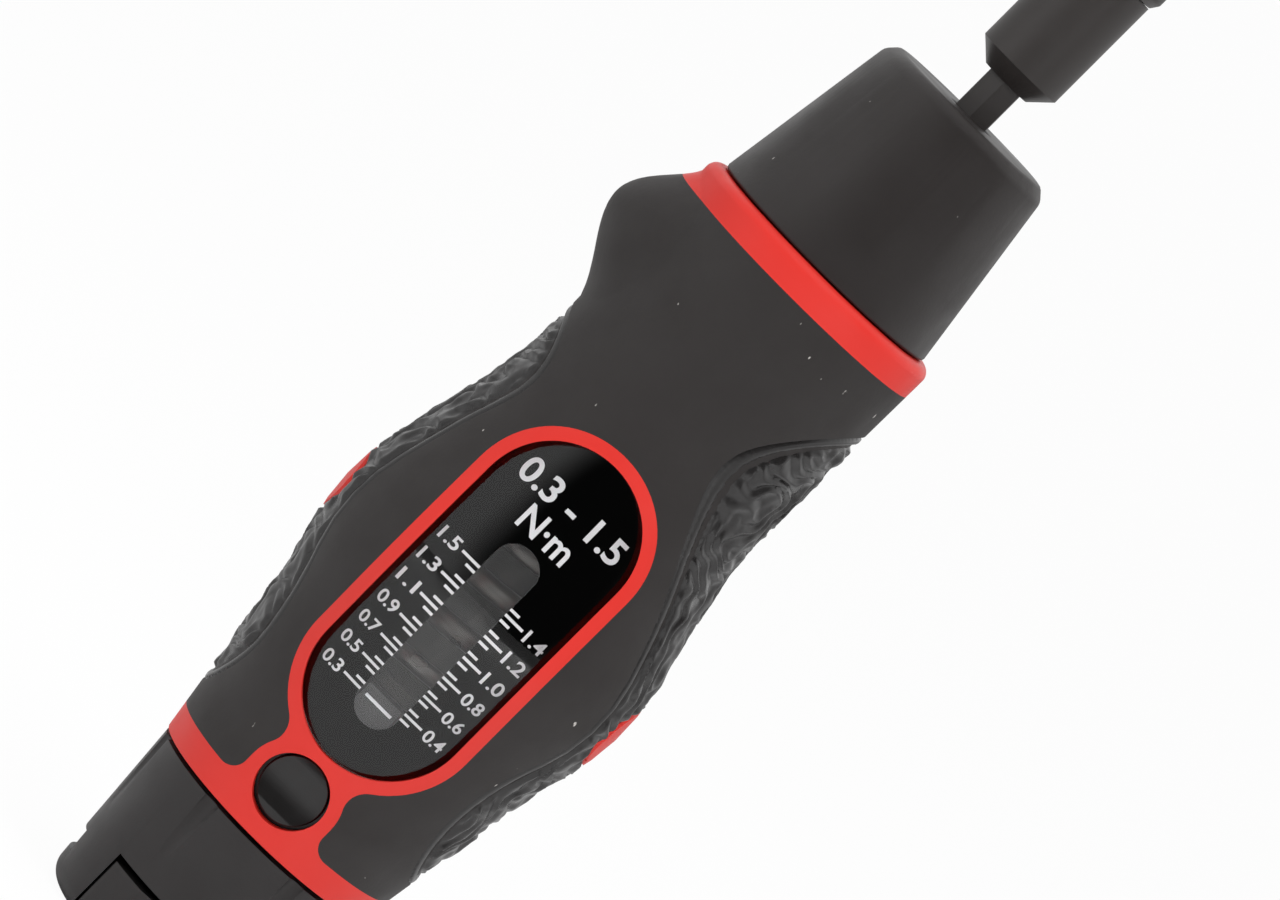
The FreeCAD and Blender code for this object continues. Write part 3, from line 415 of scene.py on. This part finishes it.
def wire_coil(radius: float, wire: float, low: float, high: float, turns: float, sides: int) -> bmesh.types.BMesh:
    """Wind a closed round wire along Z.

    Args:
        radius: Radius of the coil's middle line in millimetres.
        wire: Wire's diameter in millimetres.
        low: Lower end of the wire in millimetres.
        high: Upper end of the wire in millimetres.
        turns: Number of turns.
        sides: Sides of the wire's section.

    Returns:
        The wire as a closed mesh.
    """
    steps = int(turns * 40)
    shape = bmesh.new()
    bmesh.ops.create_circle(shape, cap_ends=True, segments=sides, radius=wire / 2 * MM)
    tilt = Matrix.Rotation(math.radians(90), 4, "X")
    bmesh.ops.transform(
        shape, matrix=Matrix.Translation(Vector((radius, 0, low + wire / 2)) * MM) @ tilt, verts=shape.verts
    )
    bmesh.ops.spin(
        shape,
        geom=shape.faces[:],
        axis=(0, 0, 1),
        cent=(0, 0, 0),
        dvec=(0, 0, (high - low - wire) * MM / steps),
        angle=math.radians(360 * turns),
        steps=steps,
        use_duplicate=False,
    )
    bmesh.ops.recalc_face_normals(shape, faces=shape.faces)
    return shape


# ------------------------------------------------------------------ handle with its side pads


class OuterForm:
    """Smooth profile of the handle's barrel, read from its solids at the back, where nothing breaks it.

    Attributes:
        low: Lowest height that is read, in millimetres.
        raw: Radius at each reading in millimetres.
        even: The same radii smoothed over a few millimetres.
    """

    # Height between readings, what is left out at the rear and at the ring's round front, in millimetres
    STEP = 0.5
    END_GAP = 0.05
    RING_ROUND = 1.25
    # Readings averaged on each side, and how well a face has to lie on the barrel to be shaded by it
    SPREAD = 4
    NEAR = 0.06
    ALIGNED = 0.9

    def __init__(self, frame: dict) -> None:
        """Read the profile.
        """
        shape = bmesh.new()
        for node in ("handle_shell", "grip_sleeve"):
            shape.from_mesh(frame["nodes"][node].data)
        tree = BVHTree.FromBMesh(shape)
        shape.free()
        low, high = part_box("handle_shell")
        self.low = low[2] / MM + self.END_GAP
        count = int((high[2] / MM - self.RING_ROUND - self.low) / self.STEP) + 1
        self.raw = [self.read(tree, self.low + index * self.STEP) for index in range(count)]
        self.even = self.smoothed(self.smoothed(self.raw))

    def read(self, tree: BVHTree, z: float) -> float:
        """Measure the radius at one height, in millimetres."""
        spot = tree.ray_cast(Vector((0, 0.04, z * MM)), Vector((0, -1, 0)))[0]
        return spot.y / MM

    def smoothed(self, radii: list[float]) -> list[float]:
        """Average radii with their neighbours, keeping the slope at both ends."""
        last = len(radii) - 1
        result = []
        for index in range(len(radii)):
            reach = min(self.SPREAD, index, last - index)
            window = radii[index - reach : index + reach + 1]
            result.append(sum(window) / len(window))
        return result

    def radius(self, z: float) -> float:
        """Give the barrel's radius at a height, both in millimetres."""
        place = min(max((z - self.low) / self.STEP, 0.0), len(self.raw) - 1.001)
        index = int(place)
        return self.raw[index] + (self.raw[index + 1] - self.raw[index]) * (place - index)

    def slope(self, z: float) -> float:
        """Give how fast the smoothed radius grows with height."""
        place = min(max((z - self.low) / self.STEP, 1.0), len(self.even) - 2.001)
        index = int(place)
        share = place - index
        here = (self.even[index + 1] - self.even[index - 1]) / (2 * self.STEP)
        ahead = (self.even[min(index + 2, len(self.even) - 1)] - self.even[index]) / (2 * self.STEP)
        return here + (ahead - here) * share

    def normal(self, spot: Vector) -> Vector:
        """Give the smooth barrel's normal beside a point in metres."""
        out = Vector((spot.x, spot.y, 0)).normalized()
        out.z = -self.slope(spot.z / MM)
        return out.normalized()

    def polish(self, item: bpy.types.Object, depths: tuple[float, ...]) -> None:
        """Shade a piece's barrel faces by the smooth profile, so that no turned step shows.

        Args:
            item: The piece.
            depths: How far below the barrel its faces may lie, in millimetres.
        """
        mesh = item.data
        top = self.low + (len(self.raw) - 1) * self.STEP
        normals = [corner.vector.copy() for corner in mesh.corner_normals]
        for face in mesh.polygons:
            for loop in face.loop_indices:
                spot = mesh.vertices[mesh.loops[loop].vertex_index].co
                if not self.low - 0.1 < spot.z / MM < top + 0.1:
                    continue
                depth = self.radius(spot.z / MM) - math.hypot(spot.x, spot.y) / MM
                smooth = self.normal(spot)
                near = min(abs(depth - level) for level in depths) < self.NEAR
                if near and face.normal.dot(smooth) > self.ALIGNED:
                    normals[loop] = smooth
        mesh.normals_split_custom_set(normals)


@dataclass
class PadRelief:
    """Flowing relief of one side pad, laid in its recess.

    Attributes:
        shop: Workshop to build with.
        form: The handle's barrel.
        side: 1 on the right, -1 on the left.
        step: Grid step in millimetres.
        reach: Half width of the field that is searched for the recess, in millimetres.
        low: Lowest height that is searched.
        high: Highest height that is searched.
        gap: Gap between the recess's wall and the rim.
        rim: Width of the rim.
        groove: Width of the groove inside the rim.
        rim_height: Height of the rim over the recess.
        pitch: Distance between two ridges.
        sunk: How far the relief's edge lies below the recess, where it hides.
        wall: Thickness of the relief.
    """

    shop: "Workshop"
    form: OuterForm
    side: int
    step: float = 0.2
    reach: float = 14.0
    low: float = 22.0
    high: float = 92.0
    gap: float = 0.28
    rim: float = 0.95
    groove: float = 0.5
    rim_height: float = 0.33
    pitch: float = 1.25
    sunk: float = 0.07
    wall: float = 0.3

    # Depths below the barrel that count as the recess's floor; past them lies the badge's opening
    FLOOR_RANGE = (0.18, 0.6)

    def build(self, surface: BVHTree) -> bpy.types.Object:
        """Model the relief.

        Args:
            surface: The grip, to lay the relief on.

        Returns:
            The finished piece.
        """
        self.surface = surface
        self.border, self.badge = self.edges()
        shape = bmesh.new()
        across = int(2 * self.reach / self.step)
        along = int((self.high - self.low) / self.step)
        bmesh.ops.create_grid(shape, x_segments=across, y_segments=along, size=0.5)
        outside = []
        for vertex in shape.verts:
            y = vertex.co.x * 2 * self.reach
            z = self.low + (vertex.co.y + 0.5) * (self.high - self.low)
            inside = self.in_recess(y, z)
            inset = self.border.find(Vector((0, y, z)))[2] * (1 if inside else -1)
            from_badge = self.badge.find(Vector((0, y, z)))[2]
            if not inside and min(-inset, from_badge) > 1.5 * self.step:
                outside.append(vertex)
                continue
            radius = self.form.radius(z) - FLOOR_DEPTH
            height = self.rise(inset, from_badge, y, z) if inside else -self.sunk
            x = self.side * math.sqrt(max(radius ** 2 - y ** 2, 0.0))
            spot = Vector((x, y, z))
            vertex.co = (spot + self.form.normal(spot * MM) * height) * MM
        bmesh.ops.delete(shape, geom=outside, context="VERTS")
        bmesh.ops.recalc_face_normals(shape, faces=shape.faces)
        if shape.faces[0].normal.x * self.side < 0:
            bmesh.ops.reverse_faces(shape, faces=shape.faces)
        bmesh.ops.solidify(shape, geom=shape.faces[:], thickness=self.wall * MM)
        name = "right_pad_relief" if self.side > 0 else "left_pad_relief"
        item = self.shop.piece(name, shape, "pad_relief", "handle", "grip_rubber")
        shade(item, 80.0)
        return item

    def depth(self, y: float, z: float) -> float:
        """Give how far the grip lies below the barrel at a point seen along X."""
        start = Vector((self.side * 0.03, y * MM, z * MM))
        spot = self.surface.ray_cast(start, Vector((-self.side, 0, 0)), 0.03)[0]
        if spot is None:
            return 99.0
        return self.form.radius(z) - math.hypot(spot.x, spot.y) / MM

    def in_recess(self, y: float, z: float) -> bool:
        """Tell whether a point seen along X lies over the recess's floor."""
        return self.FLOOR_RANGE[0] < self.depth(y, z) < self.FLOOR_RANGE[1]

    def edges(self) -> tuple[KDTree, KDTree]:
        """Find points along the recess's outer border and round its badge.

        Returns:
            The two sets of points, as (0, y, z) in millimetres.
        """
        spots: dict[bool, list[Vector]] = {False: [], True: []}
        stride = 1.5 * self.step
        rows = int((self.high - self.low) / stride)
        columns = int(2 * self.reach / stride)
        field = [
            [Vector((0, -self.reach + column * stride, self.low + row * stride)) for column in range(columns)]
            for row in range(rows)
        ]
        flags = [[self.in_recess(spot.y, spot.z) for spot in line] for line in field]
        for row in range(rows):
            for column in range(columns):
                for far_row, far_column in ((row + 1, column), (row, column + 1)):
                    if far_row >= rows or far_column >= columns:
                        continue
                    if flags[row][column] != flags[far_row][far_column]:
                        ends = (field[row][column], field[far_row][far_column])
                        inner, outer = ends if flags[row][column] else ends[::-1]
                        self.add_edge(spots, inner, outer)
        trees = []
        for is_badge in (False, True):
            tree = KDTree(len(spots[is_badge]))
            for index, spot in enumerate(spots[is_badge]):
                tree.insert(spot, index)
            tree.balance()
            trees.append(tree)
        return trees[0], trees[1]

    def add_edge(self, spots: dict[bool, list[Vector]], inner: Vector, outer: Vector) -> None:
        """Find where the recess ends between two points, and sort the place by what lies beyond."""
        is_badge = self.depth(outer.y, outer.z) > self.FLOOR_RANGE[1]
        for _ in range(6):
            middle = (inner + outer) / 2
            if self.in_recess(middle.y, middle.z):
                inner = middle
            else:
                outer = middle
        spots[is_badge].append((inner + outer) / 2)

    def rise(self, inset: float, from_badge: float, y: float, z: float) -> float:
        """Give the relief's height over the recess at a point, in millimetres.

        Args:
            inset: Distance inside the recess's border.
            from_badge: Distance from the badge.
            y: Place across the pad.
            z: Place along the tool.

        Returns:
            The height.
        """
        rim_start, rim_end = self.gap, self.gap + self.rim
        if inset < rim_start:
            return -self.sunk
        if inset < rim_end:
            across = abs(2 * (inset - rim_start) / self.rim - 1)
            return (self.rim_height + self.sunk) * (1 - across ** 5) - self.sunk
        inner = inset - rim_end - self.groove
        clear = min(inner, from_badge - 0.15)
        if clear < 0:
            return -self.sunk
        share = min(1.0, clear / 0.45)
        return self.ridges(y, z) * math.sin(share * math.pi / 2) - self.sunk * (1 - share)

    def ridges(self, y: float, z: float) -> float:
        """Give the height of the curling ridges at a point of the pad, in millimetres."""
        spot = Vector((self.side * 7.0, y, z))
        swirl = noise.noise(spot * 0.16) * 2.6 + noise.noise(spot * 0.42) * 0.9
        drift = (0.8 * y + 0.45 * z) / self.pitch
        wave = 0.5 + 0.5 * math.cos(2 * math.pi * (0.55 * drift + swirl))
        break_up = 0.75 + 0.45 * noise.noise(spot * 0.5 + Vector((5, 5, 5)))
        return 0.08 + 0.5 * break_up * wave ** 0.7 + 0.03 * noise.noise(spot * 1.8)


@dataclass
class Handle:
    """Red shell, soft grip and the relief of the side pads.

    Attributes:
        shop: Workshop to build with.
        form: The handle's barrel.
    """

    shop: Workshop
    form: OuterForm

    def build(self) -> None:
        """Build and dress the whole handle."""
        shell = self.shop.dress("handle_shell", "red_shell", bevel=0.0)
        grip = self.shop.dress("grip_sleeve", "soft_grip", bevel=0.0)
        surface = BVHTree.FromObject(grip, bpy.context.evaluated_depsgraph_get())
        for item in (shell, grip):
            self.form.polish(item, (0.0, FLOOR_DEPTH))
        for side in (-1, 1):
            PadRelief(self.shop, self.form, side).build(surface)


# ------------------------------------------------------------------ sight window


@dataclass
class SightWindow:
    """Lens, scale plate with its print, and the pointer's white line.

    Attributes:
        shop: Workshop to build with.
        form: The handle's barrel, whose curve the lens follows.
        first: Height of the lowest mark in millimetres.
        pitch: Height between marks one tenth apart in millimetres.
        edge: Where the marks start, from the middle, in millimetres.
        long_mark: Length of a numbered mark in millimetres.
        short_mark: Length of a mark between them in millimetres.
        line: Thickness of a mark in millimetres.
        label_height: Height of the marks' numbers in millimetres.
        label_gap: Gap between a mark and its number in millimetres.
        title_height: Height of the large letters in millimetres.
        ink: Thickness of the print in millimetres.
        weight: How much the letters are thickened, as a share of their size.
        count: Number of numbered marks, one tenth apart and on either side in turn.
        lowest: Moment at the lowest mark in newton metres.
        label_width: Width of the marks' numbers in millimetres.
        label_offset: From a number's near side to its middle in millimetres.
    """

    shop: Workshop
    form: OuterForm
    first: float = 37.35
    pitch: float = 1.375
    edge: float = 2.27
    long_mark: float = 2.2
    short_mark: float = 1.12
    line: float = 0.29
    label_height: float = 1.42
    label_gap: float = 0.4
    title_height: float = 2.86
    ink: float = 0.03
    weight: float = 0.02
    count: int = 13
    lowest: float = 0.3
    label_width: float = 2.35
    label_offset: float = 1.2

    def build(self) -> None:
        """Build and dress the window."""
        lens = self.shop.dress("window_lens", "clear_window", bevel=0.0)
        self.form.polish(lens, (LENS_DEPTH,))
        self.shop.dress("scale_plate", "scale_paint", bevel=0.08)
        self.shop.dress("pointer", "pointer_grey", bevel=0.08)
        self.plate_y = min(v.co.y for v in self.shop.frame["nodes"]["scale_plate"].data.vertices) / MM
        self.marks()
        start = self.edge + self.long_mark + self.label_gap
        for index in range(self.count):
            value = "%.1f" % (self.lowest + 0.1 * index)
            x = self.side_of(index) * (start + self.label_offset)
            z = self.first + index * self.pitch
            name = "number_" + value.replace(".", "_")
            self.words(name, value, x, z, self.label_height, self.label_width)
        self.words("title_range", "0.3 - 1.5", 0.0, 64.4, self.title_height, 12.8)
        self.words("title_unit", "N·m", -0.1, 60.8, self.title_height, 5.8)
        self.pointer_line()

    def side_of(self, index: int) -> int:
        """Give the side of a mark: left for the even ones, right for the odd ones."""
        return -1 if index % 2 == 0 else 1

    def marks(self) -> None:
        """Print the marks of the scale beside the slot."""
        shape = bmesh.new()
        for index in range(self.count):
            side = self.side_of(index)
            middle = self.first + index * self.pitch
            self.mark(shape, side, middle, self.long_mark)
            if index > 0:
                self.mark(shape, side, middle - self.pitch / 2, self.short_mark)
            if index < self.count - 1:
                self.mark(shape, side, middle + self.pitch / 2, self.short_mark)
        self.shop.piece("scale_marks", shape, "print_white", "handle", "scale_black")

    def mark(self, shape: bmesh.types.BMesh, side: int, z: float, length: float) -> None:
        """Print one mark.

        Args:
            shape: Mesh that gets the mark.
            side: 1 right of the slot, -1 left of it.
            z: Height of its middle in millimetres.
            length: Length in millimetres.
        """
        centre = Vector((side * (self.edge + length / 2), self.plate_y - self.ink / 2, z)) * MM
        size = Matrix.Diagonal(Vector((length, self.ink, self.line, 1 / MM))) * MM
        bmesh.ops.create_cube(shape, size=1.0, matrix=Matrix.Translation(centre) @ size)

    def words(self, name: str, text: str, x: float, z: float, height: float, width: float) -> None:
        """Print a word on the plate, fitted to a height and a width.

        Args:
            name: Name of the piece.
            text: The word.
            x: Middle of the word from the axis in millimetres.
            z: Height of its middle in millimetres.
            height: Height of the capitals in millimetres.
            width: Width of the word in millimetres.
        """
        curve = bpy.data.curves.new(name + "_curve", "FONT")
        curve.body = text
        curve.extrude = 0.01
        curve.offset = self.weight
        writer = bpy.data.objects.new(name + "_writer", curve)
        bpy.context.scene.collection.objects.link(writer)
        bpy.context.view_layer.update()
        mesh = bpy.data.meshes.new_from_object(writer.evaluated_get(bpy.context.evaluated_depsgraph_get()))
        bpy.data.objects.remove(writer)
        shape = bmesh.new()
        shape.from_mesh(mesh)
        bpy.data.meshes.remove(mesh)
        xs = [v.co.x for v in shape.verts]
        ys = [v.co.y for v in shape.verts]
        middle = Vector(((min(xs) + max(xs)) / 2, (min(ys) + max(ys)) / 2, 0))
        scale = Vector((width / (max(xs) - min(xs)), height / (max(ys) - min(ys)), self.ink / 0.02, 1 / MM)) * MM
        upright = Matrix.Rotation(math.radians(90), 4, "X")
        spot = Vector((x, self.plate_y - self.ink / 2, z)) * MM
        place = Matrix.Translation(spot) @ upright @ Matrix.Diagonal(scale) @ Matrix.Translation(-middle)
        bmesh.ops.transform(shape, matrix=place, verts=shape.verts)
        self.shop.piece(name, shape, "print_white", "handle", "scale_black")

    def pointer_line(self) -> None:
        """Fill the pointer's groove with its white line."""
        low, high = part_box("pointer")
        shape = bmesh.new()
        groove = Vector((3.1, 0.25, 0.34)) * MM
        centre = Vector((0, low[1] + groove.y / 2 - 0.02 * MM, self.first * MM))
        bmesh.ops.create_cube(shape, size=1.0, matrix=Matrix.Translation(centre) @ Matrix.Diagonal((*groove, 1)))
        self.shop.piece("pointer_line", shape, "print_white", "nut", "scale_black")


# ------------------------------------------------------------------ mechanism


@dataclass
class Mechanism:
    """Everything inside the handle, with the main spring in round wire.

    Attributes:
        shop: Workshop to build with.
        wire: Main spring's wire in millimetres.
        turns: Main spring's turns.
        lift_room: Room left in front of it for the clutch's lift, in millimetres.
    """

    shop: Workshop
    wire: float = 2.0
    turns: float = 10.0
    lift_room: float = 0.65

    def build(self) -> None:
        """Build and dress the mechanism."""
        for node, paint in (
            ("mechanism_tube", "dark_steel_painted_shade"),
            ("rear_bulkhead", "bright_steel"),
            ("rear_clip", "black_steel"),
            ("thrust_washer", "bearing_bronze"),
            ("spindle_washer", "bearing_bronze"),
            ("nose_bush", "bearing_bronze"),
            ("index_ring", "knob_plastic"),
            ("setting_screw", "dark_steel_painted_shade"),
            ("knob_screw", "black_steel"),
            ("setting_nut", "dark_steel_painted_shade"),
            ("pressure_plate", "bright_steel"),
            ("clutch_balls", "ball_steel"),
            ("output_spindle", "bright_steel"),
        ):
            self.shop.dress(node, paint, bevel=0.0)
        self.main_spring()
        self.shop.dress("button_spring", "spring_steel_painted_shade", bevel=0.0)

    def main_spring(self) -> None:
        """Wind the main spring as a fixed coil on the handle; it does not shorten as the nut comes forward."""
        low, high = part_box("main_spring")
        radius = (high[0] - low[0]) / 2 / MM - self.wire / 2
        shape = wire_coil(radius, self.wire, low[2] / MM, high[2] / MM - self.lift_room, self.turns, 12)
        item = self.shop.piece("main_spring_wire", shape, "spring_steel_painted_shade", "handle", "bright_steel")
        shade(item, 60.0)
        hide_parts("main_spring")
        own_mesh(item)


# ------------------------------------------------------------------ knob, button, nose and bit holder


@dataclass
class RearEnd:
    """Setting knob with its end cap, and the push button."""

    shop: Workshop

    def build(self) -> None:
        """Dress the knob, its cap and the button."""
        self.shop.dress("setting_knob", "knob_plastic", bevel=0.14)
        self.shop.dress("end_cap", "knob_plastic", bevel=0.12)
        self.shop.dress("release_button", "button_plastic", bevel=0.12, crease=15.0)


@dataclass
class FrontEnd:
    """Nose cone, hexagonal shaft and bit holder.

    Attributes:
        shop: Workshop to build with.
        spring_wire: Collar spring's wire in millimetres.
    """

    shop: Workshop
    spring_wire: float = 0.34

    def build(self) -> None:
        """Dress the front end and wind the collar's spring."""
        self.shop.dress("nose_cone", "nose_plastic", bevel=0.35)
        self.shop.dress("hex_shaft", "black_steel", bevel=0.12)
        self.shop.dress("bit_holder", "black_steel", bevel=0.1)
        self.shop.dress("release_collar", "black_steel", bevel=0.18)
        self.shop.dress("bit_magnet", "bright_steel", bevel=0.15)
        self.shop.dress("lock_ball", "ball_steel", bevel=0.0)
        self.shop.dress("holder_clip", "bright_steel", bevel=0.05)
        self.collar_spring()

    def collar_spring(self) -> None:
        """Wind the collar's spring as a fixed coil on the spindle; it does not shorten as the collar comes
        forward.
        """
        low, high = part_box("collar_spring")
        radius = (high[0] - low[0]) / 2 / MM - self.spring_wire / 2
        shape = wire_coil(radius, self.spring_wire, low[2] / MM, high[2] / MM, 3.0, 8)
        item = self.shop.piece("collar_spring_wire", shape, "spring_steel_painted_shade", "spindle", "bright_steel")
        shade(item, 60.0)
        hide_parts("collar_spring")
        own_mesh(item)


# ------------------------------------------------------------------ studio


@dataclass(frozen=True)
class Softbox:
    """One area lamp that faces the tool.

    Attributes:
        name: Name of the lamp.
        azimuth: Degrees round the tool, 0 in front and 90 at its right.
        elevation: Degrees above the floor.
        distance: Metres from the tool.
        width: Metres across.
        height: Metres along.
        power: Watts.
    """

    name: str
    azimuth: float
    elevation: float
    distance: float
    width: float
    height: float
    power: float

    def build(self, aim: Vector) -> None:
        """Hang the lamp and aim it at a point."""
        data = bpy.data.lights.new(self.name, "AREA")
        data.shape = "RECTANGLE"
        data.size = self.width
        data.size_y = self.height
        data.energy = self.power
        lamp = bpy.data.objects.new(self.name, data)
        bpy.context.scene.collection.objects.link(lamp)
        away = direction(self.azimuth, self.elevation)
        lamp.location = aim + away * self.distance
        lamp.rotation_euler = away.to_track_quat("Z", "Y").to_euler()
        lamp.visible_glossy = False


def direction(azimuth: float, elevation: float) -> Vector:
    """Give the way from the tool towards an azimuth and an elevation in degrees."""
    a, e = math.radians(azimuth), math.radians(elevation)
    return Vector((math.sin(a) * math.cos(e), -math.cos(a) * math.cos(e), math.sin(e)))


@dataclass
class Studio:
    """Floor, light and camera.

    Attributes:
        azimuth: Camera's azimuth in degrees.
        elevation: Camera's elevation in degrees.
        roll: Degrees by which the tool leans to the right in the picture.
        distance: Metres from the camera to the tool's axis.
        aim: Point on which the picture is centred.
        field: Camera's horizontal field of view in degrees.
        ambient: Strength of the room's light on the tool.
        dark_azimuth: Azimuth of the room's unlit corner, which gloss mirrors, in degrees.
        dark_elevation: Elevation of that corner in degrees.
        dark_inner: Half angle in degrees within which it is darkest.
        dark_outer: Half angle in degrees at which it ends.
        dark_level: How bright it is.
    """

    azimuth: float = 1.3
    elevation: float = 5.6
    roll: float = 45.0
    distance: float = 0.846
    aim: Vector = Vector((0.00014, 0.0, 0.0722))
    field: float = 8.65
    ambient: float = 0.42
    dark_azimuth: float = 22.0
    dark_elevation: float = 30.0
    dark_inner: float = 34.0
    dark_outer: float = 62.0
    dark_level: float = 0.04

    LAMPS = (
        Softbox("key", 38.0, 20.0, 0.55, 0.20, 0.45, 1.9),
        Softbox("fill", -55.0, 15.0, 0.60, 0.30, 0.45, 1.4),
        Softbox("top", 10.0, 78.0, 0.60, 0.50, 0.40, 1.8),
    )

    def build(self) -> None:
        """Set up the whole studio."""
        self.room()
        self.floor()
        for lamp in self.LAMPS:
            lamp.build(self.aim)
        self.camera()
        bpy.context.scene.view_settings.view_transform = "Standard"

    def room(self) -> None:
        """Light the room evenly and show it white."""
        world = bpy.data.worlds.new("room")
        bpy.context.scene.world = world
        world.use_nodes = True
        tree = world.node_tree
        back = tree.nodes["Background"]
        back.inputs["Color"].default_value = (1.0, 1.0, 1.0, 1.0)
        path = tree.nodes.new("ShaderNodeLightPath")
        way = tree.nodes.new("ShaderNodeTexCoord")
        corner = tree.nodes.new("ShaderNodeVectorMath")
        corner.operation = "DOT_PRODUCT"
        corner.inputs[1].default_value = direction(self.dark_azimuth, self.dark_elevation)
        mirrored = tree.nodes.new("ShaderNodeMapRange")
        mirrored.interpolation_type = "SMOOTHSTEP"
        mirrored.inputs["From Min"].default_value = math.cos(math.radians(self.dark_outer))
        mirrored.inputs["From Max"].default_value = math.cos(math.radians(self.dark_inner))
        mirrored.inputs["To Min"].default_value = 1.0
        mirrored.inputs["To Max"].default_value = self.dark_level
        gloss = self.mix(tree, path.outputs["Is Glossy Ray"], self.ambient)
        clear = self.mix(tree, path.outputs["Is Transmission Ray"], 0.0)
        seen = self.mix(tree, path.outputs["Is Camera Ray"], 0.0)
        tree.links.new(way.outputs["Generated"], corner.inputs[0])
        tree.links.new(corner.outputs["Value"], mirrored.inputs["Value"])
        tree.links.new(mirrored.outputs["Result"], gloss.inputs["To Max"])
        tree.links.new(gloss.outputs["Result"], clear.inputs["To Min"])
        tree.links.new(clear.outputs["Result"], seen.inputs["To Min"])
        tree.links.new(seen.outputs["Result"], back.inputs["Strength"])

    def mix(self, tree: bpy.types.NodeTree, kind: bpy.types.NodeSocket, rest: float) -> bpy.types.Node:
        """Add a node that gives full strength to one kind of ray and another strength to the rest."""
        node = tree.nodes.new("ShaderNodeMapRange")
        node.inputs["To Min"].default_value = rest
        node.inputs["To Max"].default_value = 1.0
        tree.links.new(kind, node.inputs["Value"])
        return node

    def floor(self) -> None:
        """Lay a white floor that keeps a faint shadow."""
        shape = bmesh.new()
        bmesh.ops.create_grid(shape, x_segments=1, y_segments=1, size=20.0)
        mesh = bpy.data.meshes.new("floor")
        shape.to_mesh(mesh)
        shape.free()
        plane = bpy.data.objects.new("floor", mesh)
        bpy.context.scene.collection.objects.link(plane)
        paint = bpy.data.materials.new("floor_white")
        paint.use_nodes = True
        tree = paint.node_tree
        shader = tree.nodes["Principled BSDF"]
        shader.inputs["Base Color"].default_value = (0.9, 0.9, 0.9, 1.0)
        shader.inputs["Roughness"].default_value = 0.9
        shader.inputs["Specular IOR Level"].default_value = 0.1
        glow = tree.nodes.new("ShaderNodeEmission")
        glow.inputs["Color"].default_value = (1.0, 1.0, 1.0, 1.0)
        path = tree.nodes.new("ShaderNodeLightPath")
        share = tree.nodes.new("ShaderNodeMapRange")
        share.inputs["To Min"].default_value = 0.0
        share.inputs["To Max"].default_value = 0.96
        mix = tree.nodes.new("ShaderNodeMixShader")
        tree.links.new(path.outputs["Is Camera Ray"], share.inputs["Value"])
        tree.links.new(share.outputs["Result"], mix.inputs["Fac"])
        tree.links.new(shader.outputs["BSDF"], mix.inputs[1])
        tree.links.new(glow.outputs["Emission"], mix.inputs[2])
        tree.links.new(mix.outputs["Shader"], tree.nodes["Material Output"].inputs["Surface"])
        mesh.materials.append(paint)

    def camera(self) -> None:
        """Set the camera, leaning so that the tool points to the upper right."""
        data = bpy.data.cameras.new("camera")
        data.sensor_width = 36.0
        data.lens = data.sensor_width / 2 / math.tan(math.radians(self.field / 2))
        data.clip_start, data.clip_end = 0.01, 100.0
        eye = bpy.data.objects.new("camera", data)
        bpy.context.scene.collection.objects.link(eye)
        back = direction(self.azimuth, self.elevation)
        eye.location = self.aim + back * self.distance
        level = back.to_track_quat("Z", "Y").to_matrix().to_4x4()
        eye.rotation_euler = (level @ Matrix.Rotation(math.radians(self.roll), 4, "Z")).to_euler()
        bpy.context.scene.camera = eye


def main() -> None:
    """Build the tool, then the studio round it."""
    logging.basicConfig(level=logging.INFO, format="%(name)s: %(message)s")
    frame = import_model()
    shop = Workshop(frame, Paints())
    form = OuterForm(frame)
    assemblies = (
        Handle(shop, form),
        SightWindow(shop, form),
        Mechanism(shop),
        RearEnd(shop),
        FrontEnd(shop),
        Studio(),
    )
    for assembly in assemblies:
        assembly.build()
        LOG.info("built %s", type(assembly).__name__)


if __name__ == "__main__":
    main()
